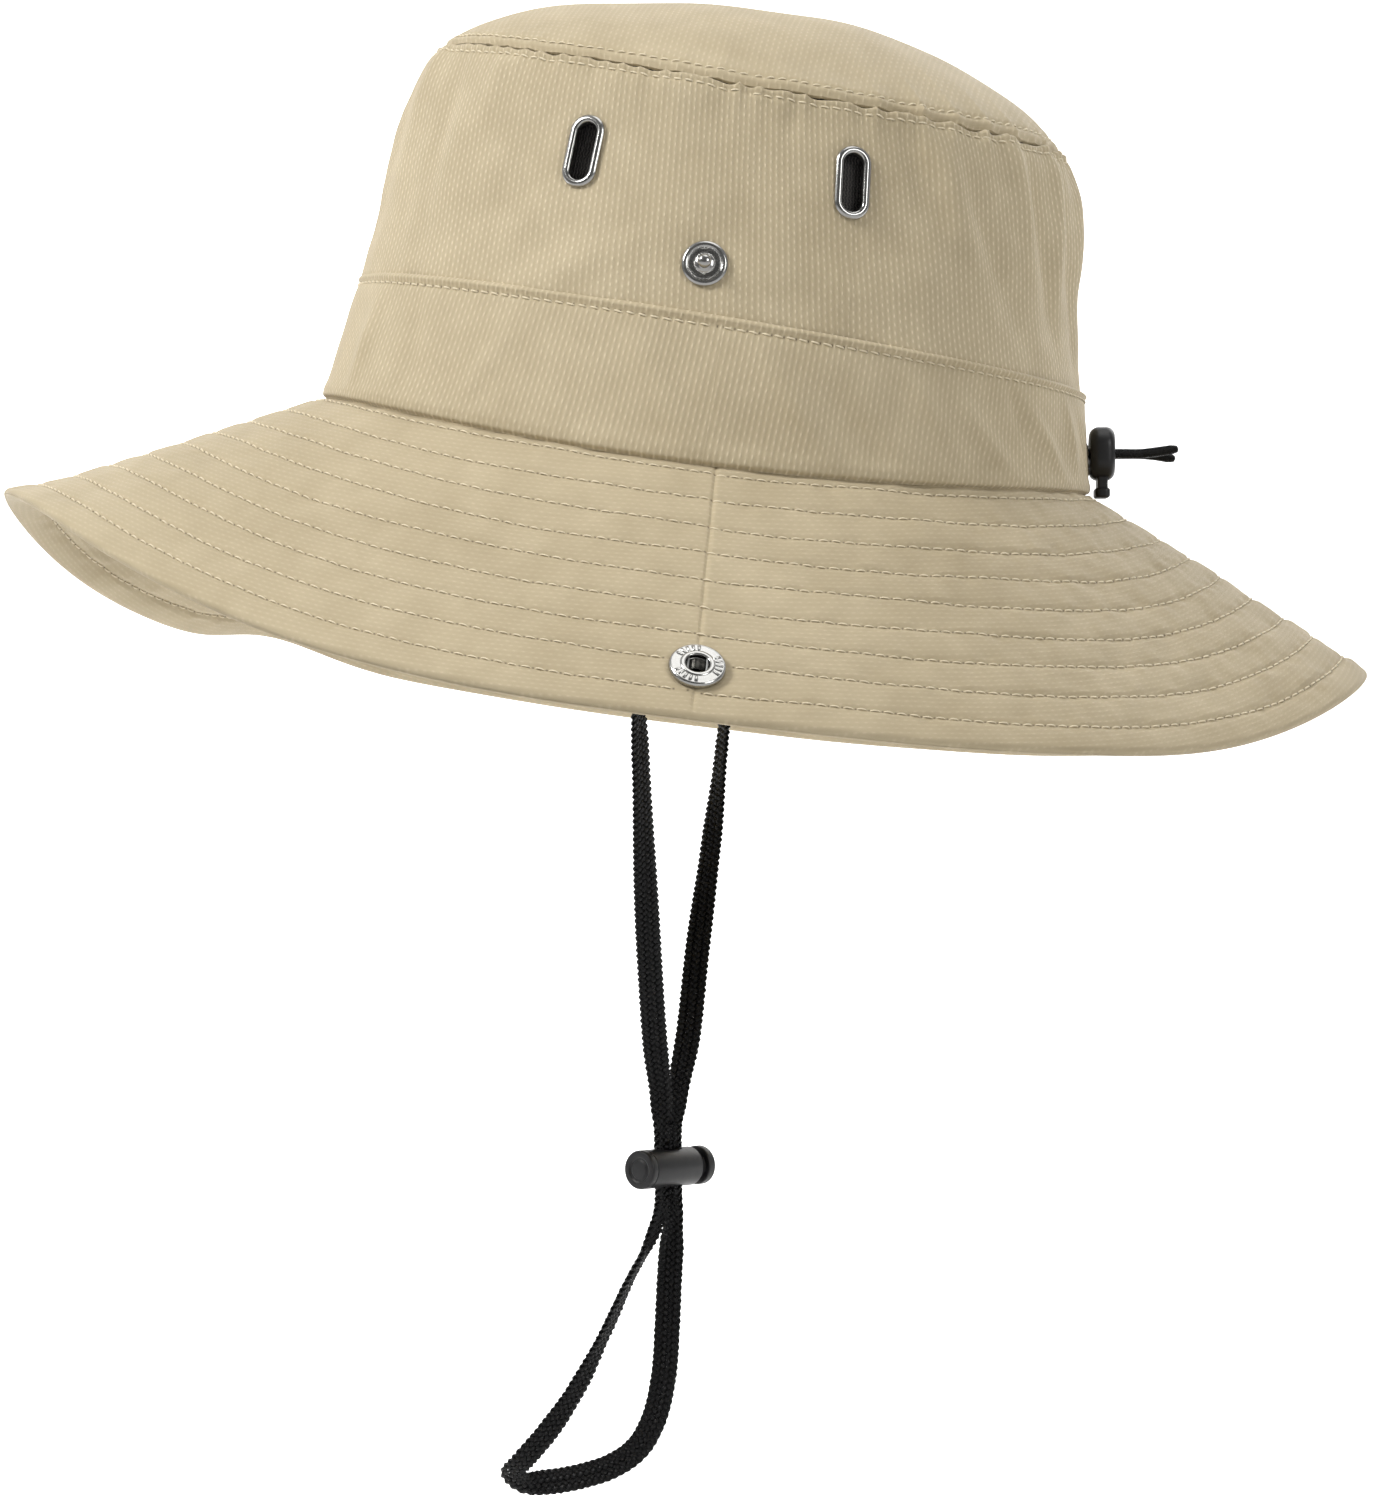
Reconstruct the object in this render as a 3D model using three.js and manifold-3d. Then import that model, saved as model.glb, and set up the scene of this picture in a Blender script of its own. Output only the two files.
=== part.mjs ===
// Boonie hat with snap-up brim, chin cord and rear drawcord.
// Millimetres. +X is the wearer's left, +Y the back of the head, +Z up. The origin is the middle
// of the head opening, where crown and brim are sewn together.

import * as THREE from 'three';
import { mergeVertices } from 'three/addons/utils/BufferGeometryUtils.js';
import Module from 'manifold-3d';

const wasm = await Module();
wasm.setup();

// ---------------------------------------------------------------- driving dimensions

const TILT = THREE.MathUtils.degToRad(7); // the hat sits on the head leaning back
const AROUND = 48; // facets round the hat

// Seams are ovals in the hat's own frame: half width, half length, middle, and height, which
// changes by `slant` towards the back and by `dip` at both sides.
const BASE = { x: 84.5, y: 103, middle: 0, z: 0, slant: -0.5, dip: -9 };
const BAND = { x: 80.5, y: 97.5, middle: 1, z: 29.9, slant: -4, dip: -0.8 };
const TOP = { x: 69.5, y: 84.7, middle: 0.8, z: 93.8, slant: -4.5, dip: -3 };
const APEX = 117.3; // height of the dome
const DOME_POWER = 2.7; // how long the dome stays flat before it rolls over
const PUFF = 2.6; // fullness of the side panel at front and back

const FABRIC = 0.8;
const BRIM_WIDTH = 90;
const BRIM_SLOPE = { side: 45.4, front: 25.3, back: 24.6 }; // degrees below level
const FLAT_FRONT = 3.5; // how suddenly the slope eases towards the front
const FLAT_BACK = 13; // and towards the back
// where the soft brim hangs steeper or lies flatter than its even slope, in degrees
const DROOPS = [
  { angle: 238, width: 22, extra: 11 },
  { angle: 256, width: 14, extra: 6 },
  { angle: 227, width: 9.5, extra: -6.2 },
  { angle: 290, width: 18, extra: -3 },
];
const FOLD_LINE = 93; // the brim folds up along this distance from the middle
const CUT = 0.6; // half the gap along the fold line, which lets the flap turn

const INTERLINING = { top: -1.1, bottom: -2.1 };
const UNDERSIDE = { top: -2.4, bottom: -3.2 };
const SWEATBAND = { outer: -4.6, inner: -5.4 };
const LINING = { outer: -3.2, inner: -3.8 };
const BAND_SKIN = { outer: 1.1, inner: 0.3 };

const EYELET = { inner: 2.6, outer: 4.75, half: 5, z: 68, spacing: 69.4, middle: -5.3 };
const STUD = { y: -5.6, z: 42, radius: 5.95 };
const SOCKET = { along: 74, angle: 2, radius: 7.15, hole: 3.05, barrel: 3.9 };
const HARDWARE_CLEARANCE = 0.4;

const CORD = 3.0; // chin cord, as a round tube of the flat braid's bulk
const DRAWCORD = 2.6;
const CHIN_LOCK = { centre: [0, -10.2, -194.4], yaw: 40, radius: 5.25, bore: 3.9, travel: 2.2 };
const STRAND_SPACING = 2.6; // each strand's distance from the lock's middle
const REAR_LOCK = { centre: [0, 106.7, -2.1], width: 15, height: 14.4, depth: 6.6, travel: 1.8 };
const TAIL_SPACING = 1.7;

const KHAKI = 0xb9a67f;
const BLACK = 0x141414;
const NICKEL = 0xc9c8c4;

// ---------------------------------------------------------------- surfaces of the hat

function seam(oval, theta) {
  const c = Math.cos(theta);
  const s = Math.sin(theta);
  return new THREE.Vector3(oval.x * c, oval.y * s + oval.middle, oval.z + oval.slant * s + oval.dip * c * c);
}

function outward(theta) {
  return new THREE.Vector3(Math.cos(theta) / BASE.x, Math.sin(theta) / BASE.y, 0).normalize();
}

// A point of the crown. `reach` runs from 0 at the apex through 1 at the top seam and 2 at the
// band seam to 3 at the base seam; `out` is the distance outside the fabric's face.
function crown(theta, reach, out) {
  const top = seam(TOP, theta);
  if (reach <= 1) {
    const edge = top.addScaledVector(outward(theta), out);
    const rise = (APEX - edge.z) * (1 - reach ** DOME_POWER);
    return new THREE.Vector3(edge.x * reach, TOP.middle + (edge.y - TOP.middle) * reach, edge.z + rise + out);
  }
  const band = seam(BAND, theta);
  if (reach <= 2) {
    const t = 2 - reach;
    const puff = PUFF * Math.sin(Math.PI * t * t) * Math.sin(theta) ** 2;
    const point = band.lerp(top, t).addScaledVector(outward(theta), out + puff);
    point.z += out * t;
    return point;
  }
  return seam(BASE, theta).lerp(band, 3 - reach).addScaledVector(outward(theta), out);
}

function slope(theta) {
  const s = Math.sin(theta);
  const end = s < 0 ? BRIM_SLOPE.front : BRIM_SLOPE.back;
  const ease = Math.abs(s) ** (s < 0 ? FLAT_FRONT : FLAT_BACK);
  const turn = (THREE.MathUtils.radToDeg(theta) + 360) % 360;
  let droop = 0;
  for (const { angle, width, extra } of DROOPS) {
    droop += extra * Math.exp(-(((turn - angle) / width) ** 2));
  }
  return THREE.MathUtils.degToRad(BRIM_SLOPE.side + (end - BRIM_SLOPE.side) * ease + droop);
}

// A point of the brim, `along` it from the base seam and `out` above its top face.
function brim(theta, along, out) {
  const a = slope(theta);
  const point = seam(BASE, theta);
  point.addScaledVector(outward(theta), along * Math.cos(a) + out * Math.sin(a));
  point.z += out * Math.cos(a) - along * Math.sin(a);
  return point;
}

// ---------------------------------------------------------------- solids

// Welds a geometry into one closed body whose faces point outwards.
function solid(geometry) {
  geometry.deleteAttribute('normal');
  geometry.deleteAttribute('uv');
  const welded = mergeVertices(geometry, 1e-3);
  const index = [];
  for (let i = 0; i < welded.index.count; i += 3) {
    const face = [welded.index.getX(i), welded.index.getX(i + 1), welded.index.getX(i + 2)];
    if (new Set(face).size === 3) {
      index.push(...face);
    }
  }
  welded.setIndex(index);
  if (volume(welded) < 0) {
    welded.setIndex(index.reverse());
  }
  return welded;
}

function volume(geometry) {
  const corner = [new THREE.Vector3(), new THREE.Vector3(), new THREE.Vector3()];
  let total = 0;
  for (let i = 0; i < geometry.index.count; i += 3) {
    corner.forEach((p, k) => p.fromBufferAttribute(geometry.attributes.position, geometry.index.getX(i + k)));
    total += corner[0].dot(corner[1].cross(corner[2])) / 6;
  }
  return total;
}

function toManifold(geometry) {
  const body = solid(geometry);
  const vertProperties = new Float32Array(body.attributes.position.array);
  const triVerts = new Uint32Array(body.index.array);
  return new wasm.Manifold(new wasm.Mesh({ numProp: 3, vertProperties, triVerts }));
}

function fromManifold(body) {
  const mesh = body.getMesh();
  const geometry = new THREE.BufferGeometry();
  geometry.setAttribute('position', new THREE.Float32BufferAttribute(mesh.vertProperties, 3));
  geometry.setIndex(Array.from(mesh.triVerts));
  return geometry;
}

function cut(geometry, cutters) {
  let body = toManifold(geometry);
  for (const cutter of cutters) {
    body = body.subtract(toManifold(cutter));
  }
  return fromManifold(body);
}

function join(first, second) {
  return fromManifold(toManifold(first).add(toManifold(second)));
}

function keep(geometry, region) {
  return fromManifold(toManifold(geometry).intersect(toManifold(region)));
}

// Lathe squares are split one way on a shell's front and the other way on its back. The back's
// are turned here, so that neighbouring layers keep their gap on twisted surfaces.
function matchDiagonals(geometry, columns, firstBack) {
  const index = geometry.index;
  for (let square = 0; square < index.count / 6; square++) {
    if (square % columns >= firstBack) {
      const [a, b, d, c] = [0, 1, 2, 3].map((k) => index.getX(square * 6 + k));
      [a, b, c, c, d, a].forEach((corner, k) => index.setX(square * 6 + k, corner));
    }
  }
}

// A shell round the hat between two offsets of a surface, with a ring of points at each station.
// Stations that start at 0 close the shell over the apex.
function shell(surface, stations, outer, inner) {
  const closed = stations[0] === 0;
  const shift = closed ? 0 : 10;
  const longest = Math.max(...stations);
  const front = stations.map((along) => new THREE.Vector2(shift + along / longest, outer));
  const back = stations.map((along) => new THREE.Vector2(shift + along / longest, inner)).reverse();
  const profile = closed ? [...front, ...back] : [...front, ...back, front[0]];
  const geometry = new THREE.LatheGeometry(profile, AROUND);
  matchDiagonals(geometry, profile.length - 1, stations.length);
  const position = geometry.attributes.position;
  for (let i = 0; i < position.count; i++) {
    const x = position.getX(i);
    const z = position.getZ(i);
    const along = (Math.hypot(x, z) - shift) * longest;
    const point = surface(Math.atan2(x, z), along, position.getY(i));
    position.setXYZ(i, point.x, point.y, point.z);
  }
  return solid(geometry);
}

function lathe(profile, segments = 18, start = 0) {
  const points = profile.map(([r, z]) => new THREE.Vector2(r, z));
  return new THREE.LatheGeometry(points, segments, start).rotateX(Math.PI / 2);
}

// An oblong from a round piece: its two halves are moved apart along Y.
function stretched(geometry, half) {
  const position = geometry.attributes.position;
  for (let i = 0; i < position.count; i++) {
    position.setY(i, position.getY(i) + half * Math.sign(position.getY(i)));
  }
  return geometry;
}

function oblong(profile, half, segments = 18) {
  return stretched(lathe(profile, segments, Math.PI / segments), half);
}

function rod(radius, low, high, segments = 18) {
  return lathe([[0, low], [radius, low], [radius, high], [0, high]], segments);
}

function oblongRod(radius, half, low, high, segments = 18) {
  return oblong([[0, low], [radius, low], [radius, high], [0, high]], half, segments);
}

function block(low, high) {
  const size = new THREE.Vector3(...high).sub(new THREE.Vector3(...low));
  const middle = new THREE.Vector3(...high).add(new THREE.Vector3(...low)).multiplyScalar(0.5);
  return new THREE.BoxGeometry(size.x, size.y, size.z).translate(middle.x, middle.y, middle.z);
}

function tube(path, diameter, sides, steps) {
  const section = new THREE.Shape();
  for (let i = 0; i < sides; i++) {
    const a = (i / sides) * 2 * Math.PI;
    const point = [Math.cos(a) * diameter / 2, Math.sin(a) * diameter / 2];
    if (i === 0) {
      section.moveTo(...point);
    } else {
      section.lineTo(...point);
    }
  }
  return solid(new THREE.ExtrudeGeometry(section, { steps, extrudePath: path, bevelEnabled: false }));
}

function smoothPath(points) {
  return new THREE.CatmullRomCurve3(points.map((p) => new THREE.Vector3(...p)), false, 'centripetal');
}

class Helix extends THREE.Curve {
  constructor(radius, low, high, turns) {
    super();
    Object.assign(this, { radius, low, high, turns });
  }

  getPoint(t) {
    const a = t * this.turns * 2 * Math.PI;
    const z = this.low + (this.high - this.low) * t;
    return new THREE.Vector3(this.radius * Math.cos(a), this.radius * Math.sin(a), z);
  }
}

function spring(radius, low, high, turns, wire) {
  return tube(new Helix(radius, low + wire / 2, high - wire / 2, turns), wire, 6, Math.round(turns * 12));
}

// ---------------------------------------------------------------- places on the hat

// A frame standing on a surface: local Z points out of it and local Y up the slope.
function standingOn(surface, theta, along, direction) {
  const origin = surface(theta, along, 0);
  const sideways = surface(theta + 0.01, along, 0).sub(surface(theta - 0.01, along, 0));
  const up = surface(theta, along + direction * 0.01, 0).sub(surface(theta, along - direction * 0.01, 0));
  const normal = sideways.cross(up).normalize();
  const across = up.clone().cross(normal).normalize();
  return new THREE.Matrix4().makeBasis(across, normal.clone().cross(across), normal).setPosition(origin);
}

// The angle and reach of the side panel's point at a given distance back and height.
function onSidePanel(y, z, side) {
  let theta = 0;
  let t = 0;
  for (let i = 0; i < 12; i++) {
    const low = seam(BAND, theta);
    const high = seam(TOP, theta);
    t = (z - low.z) / (high.z - low.z);
    const middle = THREE.MathUtils.lerp(BAND.middle, TOP.middle, t);
    theta = Math.asin((y - middle) / THREE.MathUtils.lerp(BAND.y, TOP.y, t));
  }
  return { theta: side > 0 ? theta : Math.PI - theta, reach: 2 - t };
}

function onCrown(y, z, side) {
  const { theta, reach } = onSidePanel(y, z, side);
  return standingOn(crown, theta, reach, -1);
}

function onBrim(side) {
  const angle = THREE.MathUtils.degToRad(SOCKET.angle);
  return standingOn(brim, side > 0 ? angle : Math.PI - angle, SOCKET.along, -1);
}

// ---------------------------------------------------------------- scene graph

const model = new THREE.Group();
const hat = new THREE.Group();
hat.rotation.x = -TILT;
model.add(hat);

function add(group, name, geometry, look, frame) {
  const mesh = new THREE.Mesh(solid(geometry), new THREE.MeshStandardMaterial(look));
  mesh.name = name;
  if (frame) {
    mesh.applyMatrix4(frame);
  }
  group.add(mesh);
}

const khaki = { color: KHAKI, roughness: 0.85, metalness: 0 };
const stiffener = { color: 0xd8d2c4, roughness: 0.9, metalness: 0 };
const mesh = { color: BLACK, roughness: 0.8, metalness: 0 };
const braid = { color: BLACK, roughness: 0.7, metalness: 0 };
const plastic = { color: 0x1c1c1d, roughness: 0.4, metalness: 0 };
const nickel = { color: NICKEL, roughness: 0.22, metalness: 1 };
const steel = { color: 0x9a9a98, roughness: 0.35, metalness: 1 };

const SIDES = [['left', 1], ['right', -1]];
const EYELETS = [['front', -0.5], ['back', 0.5]];

function eyeletFrame(place, side) {
  return onCrown(EYELET.middle + place * EYELET.spacing, EYELET.z, side);
}

function studFrame(side) {
  return onCrown(STUD.y, STUD.z, side);
}

// ---------------------------------------------------------------- crown

function addCrown() {
  add(hat, 'crown_top_panel', shell(crown, [0, 0.35, 0.6, 0.78, 0.9, 1], 0, -FABRIC), khaki);

  const holes = [];
  const eyeletHole = EYELET.inner + 0.6 + HARDWARE_CLEARANCE;
  for (const [, side] of SIDES) {
    for (const [, place] of EYELETS) {
      holes.push(oblongRod(eyeletHole, EYELET.half, -4, 4).applyMatrix4(eyeletFrame(place, side)));
    }
    holes.push(rod(1.8, -4, 4, 12).applyMatrix4(studFrame(side)));
  }
  const panel = shell(crown, [1.006, 1.15, 1.32, 1.6, 2, 2.16], 0, -FABRIC);
  add(hat, 'crown_side_panel', cut(panel, holes), khaki);

  const band = shell(crown, [2, 2.98], BAND_SKIN.outer, BAND_SKIN.inner);
  const exit = oblongRod(DRAWCORD / 2 + 0.6, TAIL_SPACING + 0.4, -8, 8, 12);
  exit.rotateZ(Math.PI / 2).rotateX(TILT - Math.PI / 2).translate(0, 101.9, 10.4);
  add(hat, 'crown_band', cut(band, [exit]), khaki);

  add(hat, 'crown_mesh_lining', shell(crown, [0, 0.45, 0.75, 0.92, 1, 1.96], LINING.outer, LINING.inner), mesh);
  add(hat, 'sweatband', shell(crown, [1.98, 2.02, 2.99], SWEATBAND.outer, SWEATBAND.inner), khaki);
}

// ---------------------------------------------------------------- brim

function addBrimLayer(name, stations, outer, inner, look) {
  const whole = shell(brim, stations, outer, inner);
  const far = 400;
  const middle = block([CUT - FOLD_LINE, -far, -far], [FOLD_LINE - CUT, far, far]);
  add(hat, `${name}_main`, keep(whole, middle), look);
  for (const [word, side] of SIDES) {
    const near = side * (FOLD_LINE + CUT);
    const region = block([Math.min(near, side * far), -far, -far], [Math.max(near, side * far), far, far]);
    const hole = rod(SOCKET.barrel + HARDWARE_CLEARANCE, -8, 8).applyMatrix4(onBrim(side));
    add(hat, `${name}_${word}_flap`, cut(keep(whole, region), [hole]), look);
  }
}

function addBrim() {
  const stations = [0.5, 30, 60, BRIM_WIDTH];
  addBrimLayer('brim_upper', stations, 0, -FABRIC, khaki);
  addBrimLayer('brim_interlining', stations, INTERLINING.top, INTERLINING.bottom, stiffener);
  addBrimLayer('brim_underside', stations, UNDERSIDE.top, UNDERSIDE.bottom, khaki);
}

// ---------------------------------------------------------------- metal fittings

function eyeletRing() {
  const { inner, outer, half } = EYELET;
  const barrel = inner + 0.6;
  return oblong([
    [inner, -1.9], [inner, 0.55], [2.95, 1.05], [3.6, 1.25], [4.3, 1.05],
    [outer, 0.6], [outer, 0.35], [barrel, 0.35], [barrel, -1.9], [inner, -1.9],
  ], half);
}

function eyeletWasher() {
  return oblong([[3.6, -1.5], [4.6, -1.5], [4.6, -2.1], [3.6, -2.1], [3.6, -1.5]], EYELET.half);
}

// Flange with a flat ring round a neck and a ball.
function stud() {
  return lathe([
    [0, 4.4], [1.0, 4.25], [1.62, 3.75], [1.82, 3.1], [1.6, 2.5], [1.3, 2.1], [1.5, 1.4],
    [2.5, 1.05], [4.6, 1.05], [STUD.radius - 0.3, 0.9], [STUD.radius, 0.6], [STUD.radius, 0.35], [0, 0.35],
  ], 20);
}

function studPost() {
  return lathe([[0, 0.05], [1.4, 0.05], [1.4, -1.5], [5.2, -1.5], [5.2, -2.1], [4.4, -2.6], [0, -2.8]], 18);
}

// Flange round a hole, with a groove inside for the spring wires and a barrel below.
function socket() {
  const { radius, hole, barrel } = SOCKET;
  return lathe([
    [hole, -3.2], [hole, 0.65], [5.3, 0.65], [5.3, 1.65], [hole, 1.65], [hole, 1.9], [3.4, 2.1], [5.6, 2.1],
    [6.6, 1.8], [radius, 1.2], [radius, 0.35], [barrel, 0.35], [barrel, -3.2], [hole, -3.2],
  ], 24);
}

function socketSpring() {
  const wire = 0.7;
  const path = smoothPath([
    [-2.4, -3.9, 1.15], [-2.4, -2, 1.15], [-2.4, 0, 1.15], [-2.4, 2, 1.15], [-2.2, 3.6, 1.15], [-1.2, 4.4, 1.15],
    [1.2, 4.4, 1.15], [2.2, 3.6, 1.15], [2.4, 2, 1.15], [2.4, 0, 1.15], [2.4, -2, 1.15], [2.4, -3.9, 1.15],
  ]);
  return tube(path, wire, 6, 22);
}

function socketCap() {
  return lathe([[0, -3.6], [6.6, -3.6], [6.9, -4], [6.2, -4.6], [0, -5]], 20);
}

function addFittings() {
  for (const [word, side] of SIDES) {
    for (const [end, place] of EYELETS) {
      const frame = eyeletFrame(place, side);
      add(hat, `${word}_${end}_eyelet`, eyeletRing(), nickel, frame);
      add(hat, `${word}_${end}_eyelet_washer`, eyeletWasher(), nickel, frame);
    }
    add(hat, `${word}_snap_stud`, stud(), nickel, studFrame(side));
    add(hat, `${word}_snap_stud_post`, studPost(), nickel, studFrame(side));
    add(hat, `${word}_snap_socket`, socket(), nickel, onBrim(side));
    add(hat, `${word}_snap_socket_spring`, socketSpring(), steel, onBrim(side));
    add(hat, `${word}_snap_socket_cap`, socketCap(), nickel, onBrim(side));
  }
}

// ---------------------------------------------------------------- chin cord

// From the left tab down through the lock, round the loop, and up through the lock to the right tab.
const CHIN_ROUTE = [
  [74.4, -20.3, -12], [73.6, -20.3, -22], [69.5, -19.6, -38], [58, -18.2, -62], [47, -17.2, -84.5],
  [36, -16.4, -108], [22, -15.2, -135], [9, -13.6, -161], [3.2, -12.2, -174], [2, -11.87, -182],
  [2, -11.87, -194], [2, -11.87, -205], [2.7, -14.8, -213.5], [3.4, -20.6, -224.5], [4, -26.8, -238],
  [4.5, -34.9, -253.7], [5, -42.6, -265], [4, -49.2, -272.8], [0.4, -52, -276.6], [-3, -49, -279.6],
  [-4, -42, -279.6], [-4, -34, -278.2], [-4, -25, -275.2], [-4, -18.4, -270.4], [-3.8, -14, -262.5],
  [-3.4, -11.4, -251], [-3, -10.4, -237], [-2.6, -9.8, -224], [-2.2, -9.1, -213.5], [-2, -8.53, -205],
  [-2, -8.53, -194], [-2, -8.53, -182], [-3.6, -7.4, -173], [-9, -4.9, -160], [-21, -2.2, -136],
  [-35, 1.4, -109], [-47, 4.2, -84.5], [-59, 6.4, -62], [-71, 8.1, -38], [-74.8, 8.4, -25], [-75.4, 8.4, -15.5],
];

// A sewn tab, hanging inside the sweatband, that tapers to the cord's end.
function cordTab() {
  const shape = new THREE.Shape();
  shape.moveTo(-1, -7.4);
  shape.lineTo(1, -7.4);
  shape.lineTo(6, -3);
  shape.lineTo(6, 8);
  shape.lineTo(-6, 8);
  shape.lineTo(-6, -3);
  shape.closePath();
  return new THREE.ExtrudeGeometry(shape, { depth: 2.6, bevelEnabled: false }).translate(0, 0, -1.3);
}

function tabFrame(y, side) {
  const theta = side > 0 ? Math.asin(y / BASE.y) : Math.PI - Math.asin(y / BASE.y);
  const normal = outward(theta);
  const up = new THREE.Vector3(0, 0, 1);
  const middle = seam(BASE, theta).addScaledVector(normal, -8.6).setZ(-6);
  return new THREE.Matrix4().makeBasis(up.clone().cross(normal), up, normal).setPosition(middle);
}

function chinLockFrame() {
  const yaw = THREE.MathUtils.degToRad(CHIN_LOCK.yaw);
  const axis = new THREE.Vector3(-Math.cos(yaw), Math.sin(yaw), 0);
  const up = new THREE.Vector3(0, 0, 1);
  const frame = new THREE.Matrix4().makeBasis(up.clone().cross(axis), up, axis);
  return frame.setPosition(...CHIN_LOCK.centre);
}

function strandSlot(low, high) {
  const half = CORD / 2 + HARDWARE_CLEARANCE;
  return block([-half, -10, low], [half, 10, high]);
}

const SLOT_END = STRAND_SPACING + CORD / 2;

function chinLockBarrel() {
  const { radius, bore } = CHIN_LOCK;
  const cup = lathe([
    [0, -12.1], [radius - 0.5, -12.1], [radius, -11.6], [radius, 8.4], [radius - 0.3, 8.8],
    [bore, 8.8], [bore, -10.6], [0, -10.6],
  ], 24);
  return cut(cup, [strandSlot(-SLOT_END - 0.4, SLOT_END + 0.4)]);
}

function chinLockPlunger() {
  const { radius, bore, travel } = CHIN_LOCK;
  const stem = bore - 0.3;
  const knob = 8.8 + travel + 0.3;
  const body = lathe([
    [0, -6.2], [stem, -6.2], [stem, knob], [radius, knob], [radius, knob + 2.5], [radius - 0.6, knob + 3.2],
    [0, knob + 3.4],
  ], 24);
  return cut(body, [strandSlot(-SLOT_END - 0.2, SLOT_END + travel + 0.2)]);
}

function addChinCord() {
  add(hat, 'left_cord_tab', cordTab(), braid, tabFrame(-20, 1));
  add(hat, 'right_cord_tab', cordTab(), braid, tabFrame(11, -1));
  add(model, 'chin_cord', tube(smoothPath(CHIN_ROUTE), CORD, 8, 84), braid);
  add(model, 'chin_lock_barrel', chinLockBarrel(), plastic, chinLockFrame());
  add(model, 'chin_lock_plunger', chinLockPlunger(), plastic, chinLockFrame());
  add(model, 'chin_lock_spring', spring(2.6, -10.4, -6.4, 2.5, 0.5), steel, chinLockFrame());
}

// ---------------------------------------------------------------- rear drawcord

const TAIL_ROUTE = [
  [7, 99.45, -2.1], [5.3, 99.5, -2.1], [2.75, 100.6, -2.1], [1.7, 103.1, -2.1],
  [1.7, 107, -2.1], [1.7, 112, -2.1], [1.7, 117, -2.1],
];

// The run inside the channel between band and sweatband, open at the back.
class ChannelRun extends THREE.Curve {
  getPoint(t) {
    const gap = THREE.MathUtils.degToRad(5.3);
    return crown(Math.PI / 2 + gap + t * 2 * (Math.PI - gap), 2.6, -2.2);
  }
}

function rearLockBody() {
  const { width, height, depth } = REAR_LOCK;
  const bevel = 1;
  const corner = 4.5;
  const x = width / 2 - bevel;
  const z = height / 2 - bevel;
  const shape = new THREE.Shape();
  shape.absarc(x - corner, z - corner, corner, 0, Math.PI / 2);
  shape.absarc(corner - x, z - corner, corner, Math.PI / 2, Math.PI);
  shape.absarc(corner - x, corner - z, corner, Math.PI, 1.5 * Math.PI);
  shape.absarc(x - corner, corner - z, corner, 1.5 * Math.PI, 2 * Math.PI);
  const body = new THREE.ExtrudeGeometry(shape, {
    depth: depth - 2 * bevel, bevelThickness: bevel, bevelSize: bevel, bevelSegments: 2, curveSegments: 3,
  });
  body.translate(0, 0, bevel - depth / 2).rotateX(Math.PI / 2);
  const pocket = block([-5, -1.65, -10], [5, 1.65, 5.5]);
  const bore = oblongRod(DRAWCORD / 2 + 0.3, TAIL_SPACING, -6, 6, 12).rotateZ(Math.PI / 2).rotateX(Math.PI / 2);
  return cut(body, [pocket, bore]);
}

function rearLockButton() {
  const foot = -REAR_LOCK.height / 2 - REAR_LOCK.travel - 0.2;
  const blade = block([-4.7, -1.35, foot - 1], [4.7, 1.35, 2.5]);
  const pad = block([-5.2, -2, foot - 2.7], [5.2, 2, foot]);
  const half = DRAWCORD / 2 + 0.2;
  const window = block([-TAIL_SPACING - half, -5, -half - REAR_LOCK.travel], [TAIL_SPACING + half, 5, half]);
  return cut(join(blade, pad), [window]);
}

function addDrawcord() {
  add(hat, 'drawcord_channel_run', tube(new ChannelRun(), DRAWCORD, 8, 72), braid);
  const left = [...TAIL_ROUTE, [1.8, 121.5, -1.6], [2, 127, -0.8]];
  const right = [...TAIL_ROUTE, [1.7, 121, -2.4], [1.9, 126.5, -3.3]].map(([x, y, z]) => [-x, y, z]);
  add(model, 'drawcord_left_end', tube(smoothPath(left), DRAWCORD, 8, 12), braid);
  add(model, 'drawcord_right_end', tube(smoothPath(right), DRAWCORD, 8, 12), braid);
  const frame = new THREE.Matrix4().setPosition(...REAR_LOCK.centre);
  add(model, 'rear_lock_body', rearLockBody(), plastic, frame);
  add(model, 'rear_lock_button', rearLockButton(), plastic, frame);
  add(model, 'rear_lock_spring', spring(1.1, 2.7, 5.3, 3, 0.4), steel, frame);
}

addCrown();
addBrim();
addFittings();
addChinCord();
addDrawcord();

export default model;
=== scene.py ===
"""Boonie hat with snap-up brim, chin cord and rear drawcord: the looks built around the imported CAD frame.

Row frame: +X is the wearer's left, +Y the back of the head, +Z up. Sizes are in millimetres until
to_row() turns them into the row frame's metres.
"""

import math

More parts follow.
